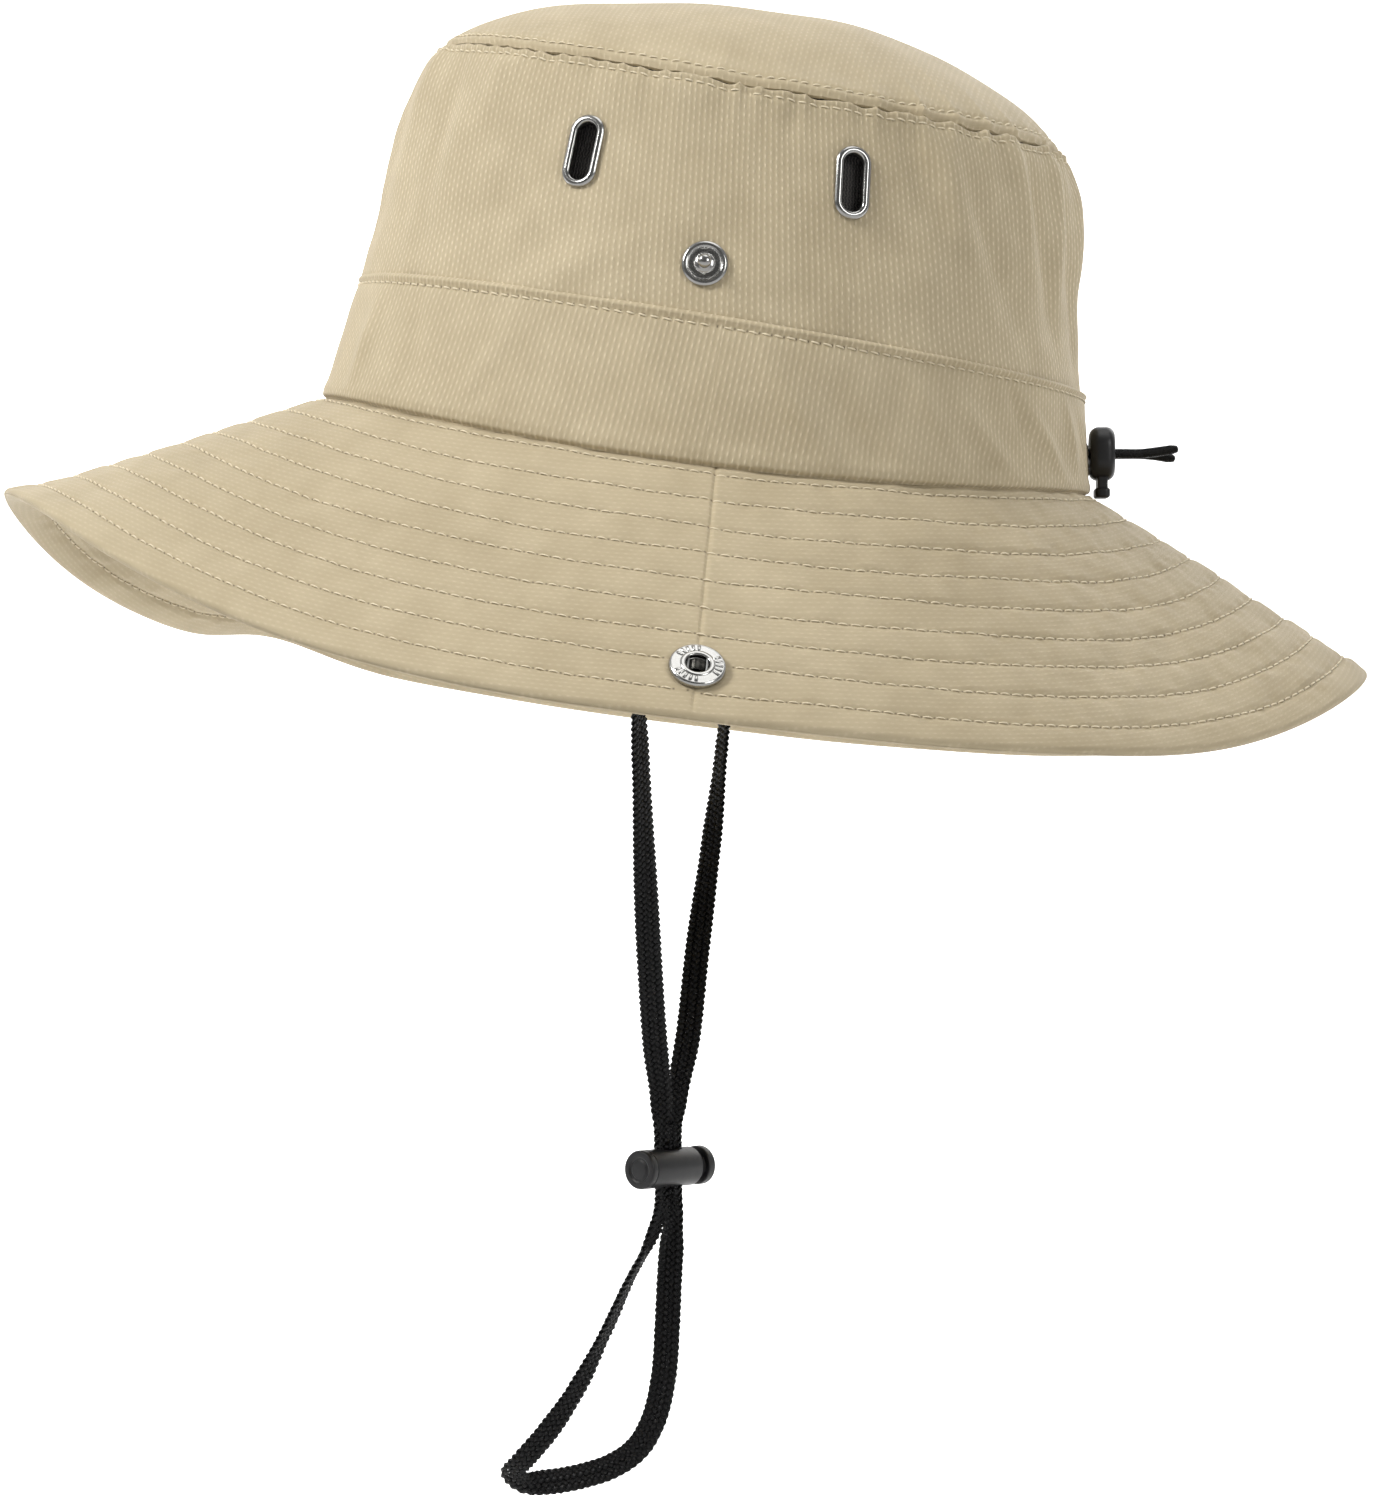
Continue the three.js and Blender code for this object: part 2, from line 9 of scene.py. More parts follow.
import bpy
import numpy as np
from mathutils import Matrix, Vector


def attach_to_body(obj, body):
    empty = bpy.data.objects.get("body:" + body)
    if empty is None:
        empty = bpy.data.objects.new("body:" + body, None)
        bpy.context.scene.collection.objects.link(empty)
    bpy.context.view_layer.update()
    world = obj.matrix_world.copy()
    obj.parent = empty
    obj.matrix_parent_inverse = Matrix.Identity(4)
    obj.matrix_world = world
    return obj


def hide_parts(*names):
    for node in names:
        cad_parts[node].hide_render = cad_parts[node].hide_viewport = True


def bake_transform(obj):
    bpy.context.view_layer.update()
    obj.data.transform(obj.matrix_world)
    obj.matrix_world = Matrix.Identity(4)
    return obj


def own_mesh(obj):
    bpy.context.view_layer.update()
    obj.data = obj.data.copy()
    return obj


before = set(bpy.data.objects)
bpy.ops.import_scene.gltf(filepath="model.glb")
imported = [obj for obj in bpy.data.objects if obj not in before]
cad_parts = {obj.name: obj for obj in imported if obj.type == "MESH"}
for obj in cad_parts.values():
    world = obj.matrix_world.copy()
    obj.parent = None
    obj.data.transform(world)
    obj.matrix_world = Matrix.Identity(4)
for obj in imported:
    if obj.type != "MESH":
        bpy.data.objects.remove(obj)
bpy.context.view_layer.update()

MM = 0.001

# ------------------------------------------------------------------ the hat's dimensions, as in the CAD

TILT = math.radians(7)
BASE = {"x": 84.5, "y": 103, "middle": 0, "z": 0, "slant": -0.5, "dip": -9}
BAND = {"x": 80.5, "y": 97.5, "middle": 1, "z": 29.9, "slant": -4, "dip": -0.8}
TOP = {"x": 69.5, "y": 84.7, "middle": 0.8, "z": 93.8, "slant": -4.5, "dip": -3}
APEX = 117.3
DOME_POWER = 2.7
PUFF = 2.6
BRIM_WIDTH = 90
BRIM_SLOPE = {"side": 45.4, "front": 25.3, "back": 24.6}
FLAT_FRONT = 3.5
FLAT_BACK = 13
DROOPS = ((238, 22, 11), (256, 14, 6), (227, 9.5, -6.2), (290, 18, -3))  # angle, width, extra slope
EYELET = {"inner": 2.6, "outer": 4.75, "half": 5, "z": 68, "spacing": 69.4, "middle": -5.3}
STUD = {"y": -5.6, "z": 42, "radius": 5.95}
SOCKET = {"along": 74, "angle": 2, "radius": 7.15, "hole": 3.05, "barrel": 3.9}
CHIN_LOCK = {"centre": (0, -10.2, -194.4), "yaw": 40, "radius": 5.25, "bore": 3.9, "travel": 2.2}
REAR_LOCK = {"centre": (0, 106.7, -2.1), "width": 15, "height": 14.4, "depth": 6.6, "travel": 1.8}
STRAND_SPACING = 2.6

WALL_HEIGHT = 64  # side panel, top seam to band seam
BAND_HEIGHT = 30  # band seam to base seam
TOP_RADIUS = 80  # middle of the top panel to its seam, along the cloth

# stitching
THREAD = 0.23
BRIM_ROWS = {"first": 3.0, "spacing": 9.8, "count": 9, "pitch": 3.5}
SEAM_ROW = 2.8  # each side of the top seam
SEAM_PITCH = 3.0
BAND_ROW = 2.3  # below the band's folded edge
BAND_PITCH = 3.2


# ------------------------------------------------------------------ small helpers

def unit(vectors):
    return vectors / np.linalg.norm(vectors, axis=-1, keepdims=True)


def path_length(line):
    """Distance along a line of points to each of them."""
    return np.concatenate([[0], np.cumsum(np.linalg.norm(np.diff(line, axis=0), axis=1))])


def smoothstep(t):
    return t * t * (3 - 2 * t)


def closed(grid):
    """A grid with its first column repeated after the last."""
    return np.concatenate([grid, grid[:, :1]], axis=1)


def link(made):
    bpy.context.scene.collection.objects.link(made)


def attach(piece, body, *nodes):
    """The piece moves with a body of the frame and stands for its nodes."""
    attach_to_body(piece, body)
    if nodes:
        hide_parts(*nodes)


# ------------------------------------------------------------------ surfaces of the hat

def seam(oval, theta):
    c, s = np.cos(theta), np.sin(theta)
    height = oval["z"] + oval["slant"] * s + oval["dip"] * c * c
    return np.stack([oval["x"] * c, oval["y"] * s + oval["middle"], height], -1)


def outward(theta):
    n = np.stack([np.cos(theta) / BASE["x"], np.sin(theta) / BASE["y"], 0 * theta], -1)
    return unit(n)


def dome(theta, reach, out):
    """The top panel: reach 0 at the apex, 1 at the top seam."""
    edge = seam(TOP, theta) + outward(theta) * out[..., None]
    rise = (APEX - edge[..., 2]) * (1 - reach ** DOME_POWER)
    x = edge[..., 0] * reach
    y = TOP["middle"] + (edge[..., 1] - TOP["middle"]) * reach
    return np.stack([x, y, edge[..., 2] + rise + out], -1)


def wall(theta, down, out):
    """The side panel: down 0 at the top seam, 1 at the band seam, and on to the base seam at 2."""
    t = np.clip(1 - down, 0, 1)
    puff = PUFF * np.sin(np.pi * t * t) * np.sin(theta) ** 2
    upper = seam(BAND, theta) + (seam(TOP, theta) - seam(BAND, theta)) * t[..., None]
    low = np.clip(down - 1, 0, 1.1)
    lower = (seam(BASE, theta) - seam(BAND, theta)) * low[..., None]
    point = upper + lower + outward(theta) * (out + puff)[..., None]
    point[..., 2] += out * t
    return point


def slope(theta):
    s = np.sin(theta)
    end = np.where(s < 0, BRIM_SLOPE["front"], BRIM_SLOPE["back"])
    ease = np.abs(s) ** np.where(s < 0, FLAT_FRONT, FLAT_BACK)
    turn = np.degrees(theta) % 360
    droop = sum(extra * np.exp(-(((turn - angle) / width) ** 2)) for angle, width, extra in DROOPS)
    return np.radians(BRIM_SLOPE["side"] + (end - BRIM_SLOPE["side"]) * ease + droop)


def brim(theta, along, out):
    a = slope(theta)
    across = along * np.cos(a) + out * np.sin(a)
    point = seam(BASE, theta) + outward(theta) * across[..., None]
    point[..., 2] += out * np.cos(a) - along * np.sin(a)
    return point


def to_row(points):
    """Hat frame in millimetres to the row frame in metres."""
    c, s = math.cos(TILT), math.sin(TILT)
    x, y, z = points[..., 0], points[..., 1], points[..., 2]
    return np.stack([x, y * c + z * s, z * c - y * s], -1) * MM


def waves(points, length, seed, count=7):
    """Smooth unevenness from -1 to 1, a sum of plane waves about length mm long."""
    random = np.random.default_rng(seed)
    total = 0
    for _ in range(count):
        direction = unit(random.normal(size=3))
        step = length * random.uniform(0.7, 1.6)
        total = total + np.sin(points @ direction * (2 * math.pi / step) + random.uniform(0, 2 * math.pi))
    return total / count ** 0.5 / 1.4


def bump(distance, width):
    return np.exp(-((distance / width) ** 2))


# ------------------------------------------------------------------ frames on the surfaces

def standing_on(surface, theta, along, direction):
    """Rotation and origin of the CAD's frame on a surface: Z out of it, Y up the slope."""
    def at(t, a):
        return surface(np.array(float(t)), np.array(float(a)), np.array(0.0))

    sideways = at(theta + 0.01, along) - at(theta - 0.01, along)
    up = at(theta, along + direction * 0.01) - at(theta, along - direction * 0.01)
    z = unit(np.cross(sideways, up))
    x = unit(np.cross(up, z))
    return np.stack([x, np.cross(z, x), z], 1), at(theta, along)


def on_wall(y, z, side):
    theta = 0.0
    for _ in range(12):
        low, high = seam(BAND, np.array(theta)), seam(TOP, np.array(theta))
        t = (z - low[2]) / (high[2] - low[2])
        middle = BAND["middle"] + (TOP["middle"] - BAND["middle"]) * t
        theta = math.asin((y - middle) / (BAND["y"] + (TOP["y"] - BAND["y"]) * t))
    theta = theta if side > 0 else math.pi - theta
    return standing_on(wall, theta, 1 - t, -1)


def on_brim(side):
    angle = math.radians(SOCKET["angle"])
    return standing_on(brim, angle if side > 0 else math.pi - angle, SOCKET["along"], -1)


SIDES = {"left": 1, "right": -1}
EYELETS = {"front": -0.5, "back": 0.5}


def eyelet_frame(end, side):
    return on_wall(EYELET["middle"] + EYELETS[end] * EYELET["spacing"], EYELET["z"], side)


def stud_frame(side):
    return on_wall(STUD["y"], STUD["z"], side)


def local(points, frame_of):
    rotation, origin = frame_of
    return (points - origin) @ rotation


EYELET_FRAMES = {(word, end): eyelet_frame(end, side) for word, side in SIDES.items() for end in EYELETS}
STUD_FRAMES = {word: stud_frame(side) for word, side in SIDES.items()}
SOCKET_FRAMES = {word: on_brim(side) for word, side in SIDES.items()}


def oblong_distance(points, frame_of, half):
    """Distance from an oblong's middle line, in its own plane; far away on the hat's other side."""
    p = local(points, frame_of)
    flat = np.hypot(p[..., 0], np.maximum(np.abs(p[..., 1]) - half, 0))
    return np.where(np.abs(p[..., 2]) < 12, flat, 99)


# ------------------------------------------------------------------ materials

def srgb(r, g, b):
    """Linear colour from 8-bit screen values."""
    shares = (c / 255 for c in (r, g, b))
    return tuple(c / 12.92 if c < 0.0405 else ((c + 0.055) / 1.055) ** 2.4 for c in shares) + (1,)


class Shader:
    """A material's nodes, with short calls for the ones used here."""

    def __init__(self, name, **principled):
        self.material = bpy.data.materials.new(name)
        self.material.use_nodes = True
        self.tree = self.material.node_tree
        self.surface = self.tree.nodes["Principled BSDF"]
        for socket, value in principled.items():
            self.surface.inputs[socket.replace("_", " ")].default_value = value

    def node(self, kind, inputs=(), output=0, **settings):
        n = self.tree.nodes.new("ShaderNode" + kind)
        for key, value in settings.items():
            setattr(n, key, value)
        for key, value in dict(inputs).items():
            self.feed(n.inputs[key], value)
        return n.outputs[output]

    def feed(self, socket, value):
        if isinstance(value, bpy.types.NodeSocket):
            self.tree.links.new(value, socket)
        else:
            socket.default_value = value

    def math(self, operation, a, b=0.0, c=0.0):
        return self.node("Math", {0: a, 1: b, 2: c}, operation=operation)

    def times(self, a, b):
        return self.math("MULTIPLY", a, b)

    def scaled(self, value, factor, added):
        return self.math("MULTIPLY_ADD", value, factor, added)

    def wave(self, value, length):
        return self.math("SINE", self.times(value, 2 * math.pi / length))

    def cell(self, value, size=1.0):
        """Position from 0 to 1 inside one of a row of equal cells."""
        return self.math("FRACT", self.math("DIVIDE", value, size))

    def near(self, value, middle, width):
        """1 where value is at middle, falling smoothly to 0 at width away."""
        away = self.math("ABSOLUTE", self.math("SUBTRACT", value, middle))
        return self.node(
            "MapRange", {"Value": away, "From Min": 0.0, "From Max": width, "To Min": 1.0, "To Max": 0.0},
            interpolation_type="SMOOTHSTEP",
        )

    def mix(self, share, a, b, blend_type="MIX"):
        n = self.tree.nodes.new("ShaderNodeMix")
        n.data_type = "RGBA"
        n.blend_type = blend_type
        self.feed(n.inputs[0], share)
        self.feed(n.inputs[6], a)
        self.feed(n.inputs[7], b)
        return n.outputs[2]

    def noise(self, scale, detail=2.0, vector=None):
        inputs = {"Scale": scale, "Detail": detail}
        inputs["Vector"] = vector or self.node("TexCoord", output=3)
        return self.node("TexNoise", inputs)

    def uv(self):
        n = self.tree.nodes.new("ShaderNodeSeparateXYZ")
        self.tree.links.new(self.node("TexCoord", output=2), n.inputs[0])
        return n.outputs[0], n.outputs[1]

    def colour(self, value):
        self.feed(self.surface.inputs["Base Color"], value)

    def roughness(self, value):
        self.feed(self.surface.inputs["Roughness"], value)

    def height(self, value, distance, strength=1.0):
        normal = self.node("Bump", {"Strength": strength, "Distance": distance, "Height": value})
        self.feed(self.surface.inputs["Normal"], normal)


def khaki(name, light, dark, rib=0.5, dashes=1.0, sideways=False, rows=None):
    """Quick-dry nylon: fine plain weave with ribs and rows of small raised dashes.

    rows is (first, spacing, pitch) of stitching in metres, whose needle holes get painted shade."""
    s = Shader(name, Roughness=0.72, Sheen_Weight=0.12, Sheen_Roughness=0.4, Specular_IOR_Level=0.32)
    u, v = s.uv()
    across, up = (v, u) if sideways else (u, v)
    column = s.math("DIVIDE", across, 0.00152)
    lean = s.times(up, 60.0)
    column = s.math("ADD", column, lean)
    parity = s.math("MODULO", s.math("FLOOR", column), 2.0)
    step = s.math("ADD", s.math("DIVIDE", up, 0.0023), s.times(parity, 0.5))
    in_column = s.cell(column)
    in_step = s.cell(step)
    dash = s.times(s.near(in_column, 0.5, 0.26), s.near(in_step, 0.5, 0.36))
    ridge = s.near(in_column, 0.5, 0.5)
    patch = s.noise(90.0, 3.0)
    dash = s.times(dash, s.scaled(patch, 1.3, 0.25))
    warp = s.wave(u, 0.00030)
    weft = s.wave(v, 0.00034)
    weave = s.times(warp, weft)
    broad = s.noise(14.0, 4.0)
    tone = s.scaled(ridge, 0.16 * rib, s.scaled(dash, 0.5 * dashes, 0.3))
    tone = s.scaled(s.math("SUBTRACT", broad, 0.5), 0.45, tone)
    tone = s.scaled(s.math("SUBTRACT", patch, 0.5), 0.3, tone)
    tone = s.scaled(weave, 0.05, tone)
    colour = s.mix(s.node("Clamp", {"Value": tone}), dark, light)
    if rows:
        first, spacing, pitch = rows
        stitch = s.cell(u, pitch)
        stitch = s.math("MINIMUM", stitch, s.math("SUBTRACT", 1.0, stitch))
        line = s.math("DIVIDE", s.math("SUBTRACT", v, first), spacing)
        line = s.math("SUBTRACT", line, s.math("ROUND", line))
        # painted shade: a dark brown spot at each needle hole stands for the shade inside it
        hole = s.times(s.near(stitch, 0.0, 0.15), s.near(line, 0.0, 0.00055 / spacing))
        colour = s.mix(s.times(hole, 0.8), colour, srgb(74, 62, 44))
    s.colour(colour)
    s.roughness(s.scaled(broad, 0.12, 0.62))
    relief = s.scaled(ridge, 0.5 * rib, s.times(dash, dashes))
    relief = s.scaled(weave, 0.16, relief)
    s.height(relief, 0.00016, 0.9)
    return s.material


def thread(name, colour):
    s = Shader(name, Roughness=0.55, Sheen_Weight=0.2, Sheen_Roughness=0.4)
    s.colour(s.mix(s.noise(900.0), colour, tuple(0.8 * c for c in colour[:3]) + (1,)))
    s.height(s.noise(2600.0), 0.0001, 0.8)
    return s.material


def metal(name, colour, roughness, grain):
    s = Shader(name, Metallic=1.0)
    stretched = s.node("Mapping", {"Vector": s.node("TexCoord", output=3), "Scale": (400, 400, 60)})
    scratch = s.noise(3.0, 6.0, stretched)
    patina = s.noise(120.0, 3.0)
    s.colour(s.mix(s.times(patina, 0.35), colour, tuple(0.62 * c for c in colour[:3]) + (1,)))
    s.roughness(s.scaled(s.math("ADD", scratch, patina), 0.5 * grain, roughness))
    s.height(scratch, 0.00002, grain)
    return s.material


def plastic(name):
    s = Shader(name, Specular_IOR_Level=0.42)
    s.colour(s.mix(s.noise(160.0, 3.0), srgb(10, 10, 11), srgb(22, 22, 24)))
    s.roughness(s.scaled(s.noise(500.0, 3.0), 0.14, 0.34))
    s.height(s.noise(3500.0), 0.00004, 0.6)
    return s.material


def braid(name):
    """Glossy multifilament yarn; u runs across a strand and v along it."""
    s = Shader(name, Specular_IOR_Level=0.2)
    u, _ = s.uv()
    filament = s.wave(u, 0.00016)
    s.colour(s.mix(s.noise(300.0), srgb(3, 3, 4), srgb(10, 10, 11)))
    s.roughness(s.scaled(s.noise(600.0), 0.16, 0.2))
    s.height(s.math("ADD", filament, s.times(s.noise(2500.0), 0.8)), 0.00003, 0.9)
    return s.material


def knit(name):
    """Black warp-knitted mesh: wavy wales and open loops, with painted light on the yarn."""
    s = Shader(name, Roughness=0.7, Sheen_Weight=0.1)
    u, v = s.uv()
    sway = s.times(s.wave(v, 0.0016), 0.00016)
    wale = s.cell(s.math("ADD", u, sway), 0.0008)
    loop = s.cell(v, 0.0008)
    yarn = s.near(wale, 0.5, 0.34)
    cross = s.near(loop, 0.5, 0.3)
    lit = s.math("MAXIMUM", yarn, s.times(cross, 0.5))
    # painted highlight: the black yarn gets a lit grey, and the gaps between stay near black
    s.colour(s.mix(lit, srgb(10, 10, 10), srgb(88, 84, 80)))
    s.height(lit, 0.00025, 1.0)
    return s.material


def felt(name):
    s = Shader(name, Roughness=0.9)
    s.colour(s.mix(s.noise(400.0, 5.0), srgb(214, 208, 196), srgb(190, 184, 170)))
    s.height(s.noise(1500.0, 4.0), 0.0001, 0.6)
    return s.material


LIGHT = srgb(214, 200, 170)
DARK = srgb(152, 137, 107)
MATERIALS = {
    "side": khaki("khaki_side", LIGHT, DARK, rib=0.8),
    "top": khaki("khaki_top", LIGHT, DARK, rib=0.3, dashes=0.5, sideways=True),
    "band": khaki(
        "khaki_band", LIGHT, DARK, rib=0.9, dashes=0.8,
        rows=(BAND_ROW * MM, 1.0, BAND_PITCH * MM),
    ),
    "brim": khaki(
        "khaki_brim", LIGHT, DARK, rib=0.25, dashes=0.3, sideways=True,
        rows=(BRIM_ROWS["first"] * MM, BRIM_ROWS["spacing"] * MM, BRIM_ROWS["pitch"] * MM),
    ),
    "tape": khaki("khaki_sweatband", LIGHT, DARK, rib=0.3, dashes=0.1),
    "thread": thread("khaki_thread", srgb(224, 211, 181)),
    "nickel": metal("nickel_plate", srgb(172, 171, 168), 0.12, 0.2),
    "steel": metal("spring_steel", srgb(168, 168, 166), 0.25, 0.3),
    "plastic": plastic("black_nylon"),
    "braid": braid("black_braid"),
    "knit": knit("black_knit"),
    "felt": felt("interlining_felt"),
}


# ------------------------------------------------------------------ mesh making

def build(name, points, faces, uvs, material, angle=50):
    """A smooth-shaded object from points in metres and lists of equal-sided faces with their UVs."""
    used = np.unique(np.concatenate([f.ravel() for f in faces]))
    renumber = np.zeros(len(points), int)
    renumber[used] = np.arange(len(used))
    points = points[used]
    faces = [renumber[f] for f in faces]
    volume = 0.0
    for f in faces:
        for k in range(1, f.shape[1] - 1):
            a, b, c = points[f[:, 0]], points[f[:, k]], points[f[:, k + 1]]
            volume += (a * np.cross(b, c)).sum()
    if volume < 0:
        faces = [f[:, ::-1] for f in faces]
        uvs = [w[:, ::-1] for w in uvs]
    mesh = bpy.data.meshes.new(name)
    mesh.vertices.add(len(points))
    mesh.vertices.foreach_set("co", points.astype(np.float32).ravel())
    corners = np.concatenate([f.ravel() for f in faces])
    sizes = np.concatenate([np.full(len(f), f.shape[1]) for f in faces])
    mesh.loops.add(len(corners))
    mesh.loops.foreach_set("vertex_index", corners.astype(np.int32))
    mesh.polygons.add(len(sizes))
    mesh.polygons.foreach_set("loop_start", (np.cumsum(sizes) - sizes).astype(np.int32))
    mesh.update(calc_edges=True)
    mesh.polygons.foreach_set("use_smooth", np.ones(len(sizes), bool))
    layer = mesh.uv_layers.new(name="UVMap")
    layer.data.foreach_set("uv", np.concatenate([w.reshape(-1, 2) for w in uvs]).astype(np.float32).ravel())
    mesh.set_sharp_from_angle(angle=math.radians(angle))
    mesh.materials.append(material)
    mesh.update()
    made = bpy.data.objects.new(name, mesh)
    link(made)
    return made


def tube_faces(rows, sides, first=0):
    """Point numbers of a grid of rings, and the quads that join each ring to the next."""
    index = first + np.arange(rows * sides).reshape(rows, sides)
    step = np.roll(index, -1, axis=1)
    return index, np.stack([index[:-1], step[:-1], step[1:], index[1:]], -1).reshape(-1, 4)


def fan(centre, ring, flip=False):
    """Triangles from one point to a ring's edges."""
    after = np.roll(ring, -1)
    pair = [ring, after] if flip else [after, ring]
    return np.stack([np.full(len(ring), centre), *pair], -1)


def hexagon_caps(first, last):
    """Two quads on each end of a six-sided tube."""
    ends = [first[..., [3, 2, 1, 0]], first[..., [5, 4, 3, 0]]]
    ends += [last[..., [0, 1, 2, 3]], last[..., [0, 3, 4, 5]]]
    return np.concatenate([e.reshape(-1, 4) for e in ends])


def panel(name, outer, inner, uv, wrap, material, keep=None, cap=False):
    """A closed cloth panel between two grids of points, rows by columns.

    wrap joins the last column to the first, keep says which cells are there, and cap closes row 0."""
    rows, cols = outer.shape[:2]
    cells = cols if wrap else cols - 1
    keep = np.ones((rows - 1, cells), bool) if keep is None else keep
    index = np.arange(rows * cols).reshape(rows, cols)
    uv_index = np.arange(rows * (cells + 1)).reshape(rows, cells + 1)
    left, right = index[:, :cells], np.roll(index, -1, axis=1)[:, :cells]
    uv_left, uv_right = uv_index[:, :cells], uv_index[:, 1:]
    back = rows * cols

    def cell(l, r):
        return np.stack([l[:-1], r[:-1], r[1:], l[1:]], -1)[keep]

    quads = [cell(left, right), cell(left, right)[:, ::-1] + back]
    maps = [cell(uv_left, uv_right), cell(uv_left, uv_right)[:, ::-1]]

    def rim(a, b, uv_a, uv_b):
        quads.append(np.stack([a, b, b + back, a + back], -1))
        maps.append(np.stack([uv_a, uv_b, uv_b, uv_a], -1))

    tall = np.pad(keep, ((1, 1), (0, 0)))
    above, below = tall[:-1], tall[1:]
    if cap:
        above = above.copy()
        above[0] = below[0]
    starts, ends = below & ~above, above & ~below
    rim(right[starts], left[starts], uv_right[starts], uv_left[starts])
    rim(left[ends], right[ends], uv_left[ends], uv_right[ends])
    if wrap:
        before, after, line, uv_line = np.roll(keep, 1, axis=1), keep, index, uv_index[:, :cells]
    else:
        wide = np.pad(keep, ((0, 0), (1, 1)))
        before, after, line, uv_line = wide[:, :-1], wide[:, 1:], index, uv_index
    starts, ends = after & ~before, before & ~after
    rim(line[:-1][starts], line[1:][starts], uv_line[:-1][starts], uv_line[1:][starts])
    rim(line[1:][ends], line[:-1][ends], uv_line[1:][ends], uv_line[:-1][ends])

    points = np.concatenate([outer.reshape(-1, 3), inner.reshape(-1, 3)])
    flat_uv = uv.reshape(-1, 2)
    faces = [np.concatenate(quads)]
    uvs = [flat_uv[np.concatenate(maps)]]
    if cap:
        middles = np.stack([outer[0].mean(0), inner[0].mean(0)])
        points = np.concatenate([points, middles])
        top, under = fan(len(points) - 2, left[0]), fan(len(points) - 1, left[0] + back, flip=True)
        faces.append(np.concatenate([top, under]))
        uvs.append(np.broadcast_to(flat_uv[:1], (2 * cells, 3, 2)).copy())
    return build(name, to_row(points), faces, uvs, material)


def snapped(theta, along, surface, holes, wrap=True):
    """Moves grid points next to a hole's edge onto it, and says which cells lie outside every hole.

    holes are (frame, half length, radius, cell size)."""
    theta, along = theta.copy(), along.copy()
    inside = np.zeros(theta.shape, bool)
    step, scale = 1e-4, 1e4  # a turn is about 100 mm to the radian
    for frame_of, half, radius, cell in holes:

        def away_at(t, a):
            return oblong_distance(surface(t, a, 0 * t), frame_of, half)

        for _ in range(3):
            away = away_at(theta, along)
            more_t = (away_at(theta + step, along) - away) / step
            more_a = (away_at(theta, along + step) - away) / step
            steep = np.maximum(more_t ** 2 / scale + more_a ** 2, 1e-9)
            move = np.where(np.abs(away - radius) < cell, (radius - away) / steep, 0)
            theta = theta + move * more_t / scale
            along = along + move * more_a
        inside |= away_at(theta, along) < radius - 0.05
    corner = inside | np.roll(inside, -1, axis=1) if wrap else inside[:, :-1] | inside[:, 1:]
    return theta, along, ~(corner[:-1] | corner[1:])


def stitches(name, starts, ends, normals, material="thread", slot="khaki_fabric", radius=THREAD, lift=0.28):
    """One mesh of short threads, each rising from one point and diving in at the other."""
    sides = 6
    t = np.array([0, 0.08, 0.3, 0.5, 0.7, 0.92, 1])
    high = np.array([-0.5, 0.1, 0.9, 1, 0.9, 0.1, -0.5]) * lift
    fat = np.array([0.3, 0.8, 1, 1.05, 1, 0.8, 0.3]) * radius
    run = ends - starts
    centre = starts[:, None] + run[:, None] * t[None, :, None] + normals[:, None] * high[None, :, None]
    across = unit(np.cross(normals, unit(run)))
    turn = (2 * math.pi * np.arange(sides) / sides)[None, :, None]
    ring = np.cos(turn) * across[:, None] + 0.8 * np.sin(turn) * normals[:, None]
    points = centre[:, :, None] + ring[:, None] * fat[None, :, None, None]
    count, rings = len(starts), len(t)
    index = np.arange(count * rings * sides).reshape(count, rings, sides)
    step = np.roll(index, -1, axis=2)
    quads = np.stack([index[:, :-1], step[:, :-1], step[:, 1:], index[:, 1:]], -1).reshape(-1, 4)
    faces = np.concatenate([quads, hexagon_caps(index[:, 0], index[:, -1])])
    uvs = np.zeros((len(faces), 4, 2))
    return build(name, to_row(points.reshape(-1, 3)), [faces], [uvs], MATERIALS[material], angle=80)


def row_of_stitches(surface, along, pitch, start, end, origin, wobble=0.0, seed=0):
    """Stitch ends and normals on a surface's line of constant along, between two angles.

    Arc length runs from origin, as it does in the surface's UVs. along is a function of theta."""
    fine = np.linspace(start, end, 4000)
    line = surface(fine, along(fine), 0 * fine)
    length = path_length(line)
    length -= np.interp(origin, fine, length)
    first, last = math.ceil(length[0] / pitch), math.floor(length[-1] / pitch)
    k = np.arange(first, last)
    random = np.random.default_rng(seed)
    a = (k + 0.13 + random.uniform(-0.03, 0.03, len(k))) * pitch
    b = (k + 0.87 + random.uniform(-0.03, 0.03, len(k))) * pitch
    out = []
    for s, shift in ((a, -wobble), (b, wobble)):
        theta = np.interp(s, length, fine)
        out.append((theta, along(theta) + shift + random.uniform(-0.08, 0.08, len(k))))
    return out


def surface_normal(surface, theta, along, out, step=0.4):
    t = step / 100
    du = surface(theta + t, along, out) - surface(theta - t, along, out)
    dv = surface(theta, along + step, out) - surface(theta, along - step, out)
    return unit(np.cross(dv, du))


def arc_length(surface, theta, along, origin):
    """Length along each row of a grid from the column nearest to origin."""
    line = surface(theta, along, 0 * theta)
    step = np.linalg.norm(np.diff(line, axis=1), axis=-1)
    length = np.concatenate([np.zeros((len(step), 1)), np.cumsum(step, axis=1)], axis=1)
    start = np.abs(theta[0] - origin).argmin()
    return length - length[:, start:start + 1]


# ------------------------------------------------------------------ crown

def mask_hardware(points, reach_of=13.0):
    """0 beside the metal fittings, where the cloth is clamped flat, rising to 1."""
    clear = np.ones(points.shape[:-1])
    for f in EYELET_FRAMES.values():
        clear *= 1 - bump(oblong_distance(points, f, EYELET["half"]), reach_of)
    for f in STUD_FRAMES.values():
        clear *= 1 - bump(oblong_distance(points, f, 0), reach_of)
    return clear


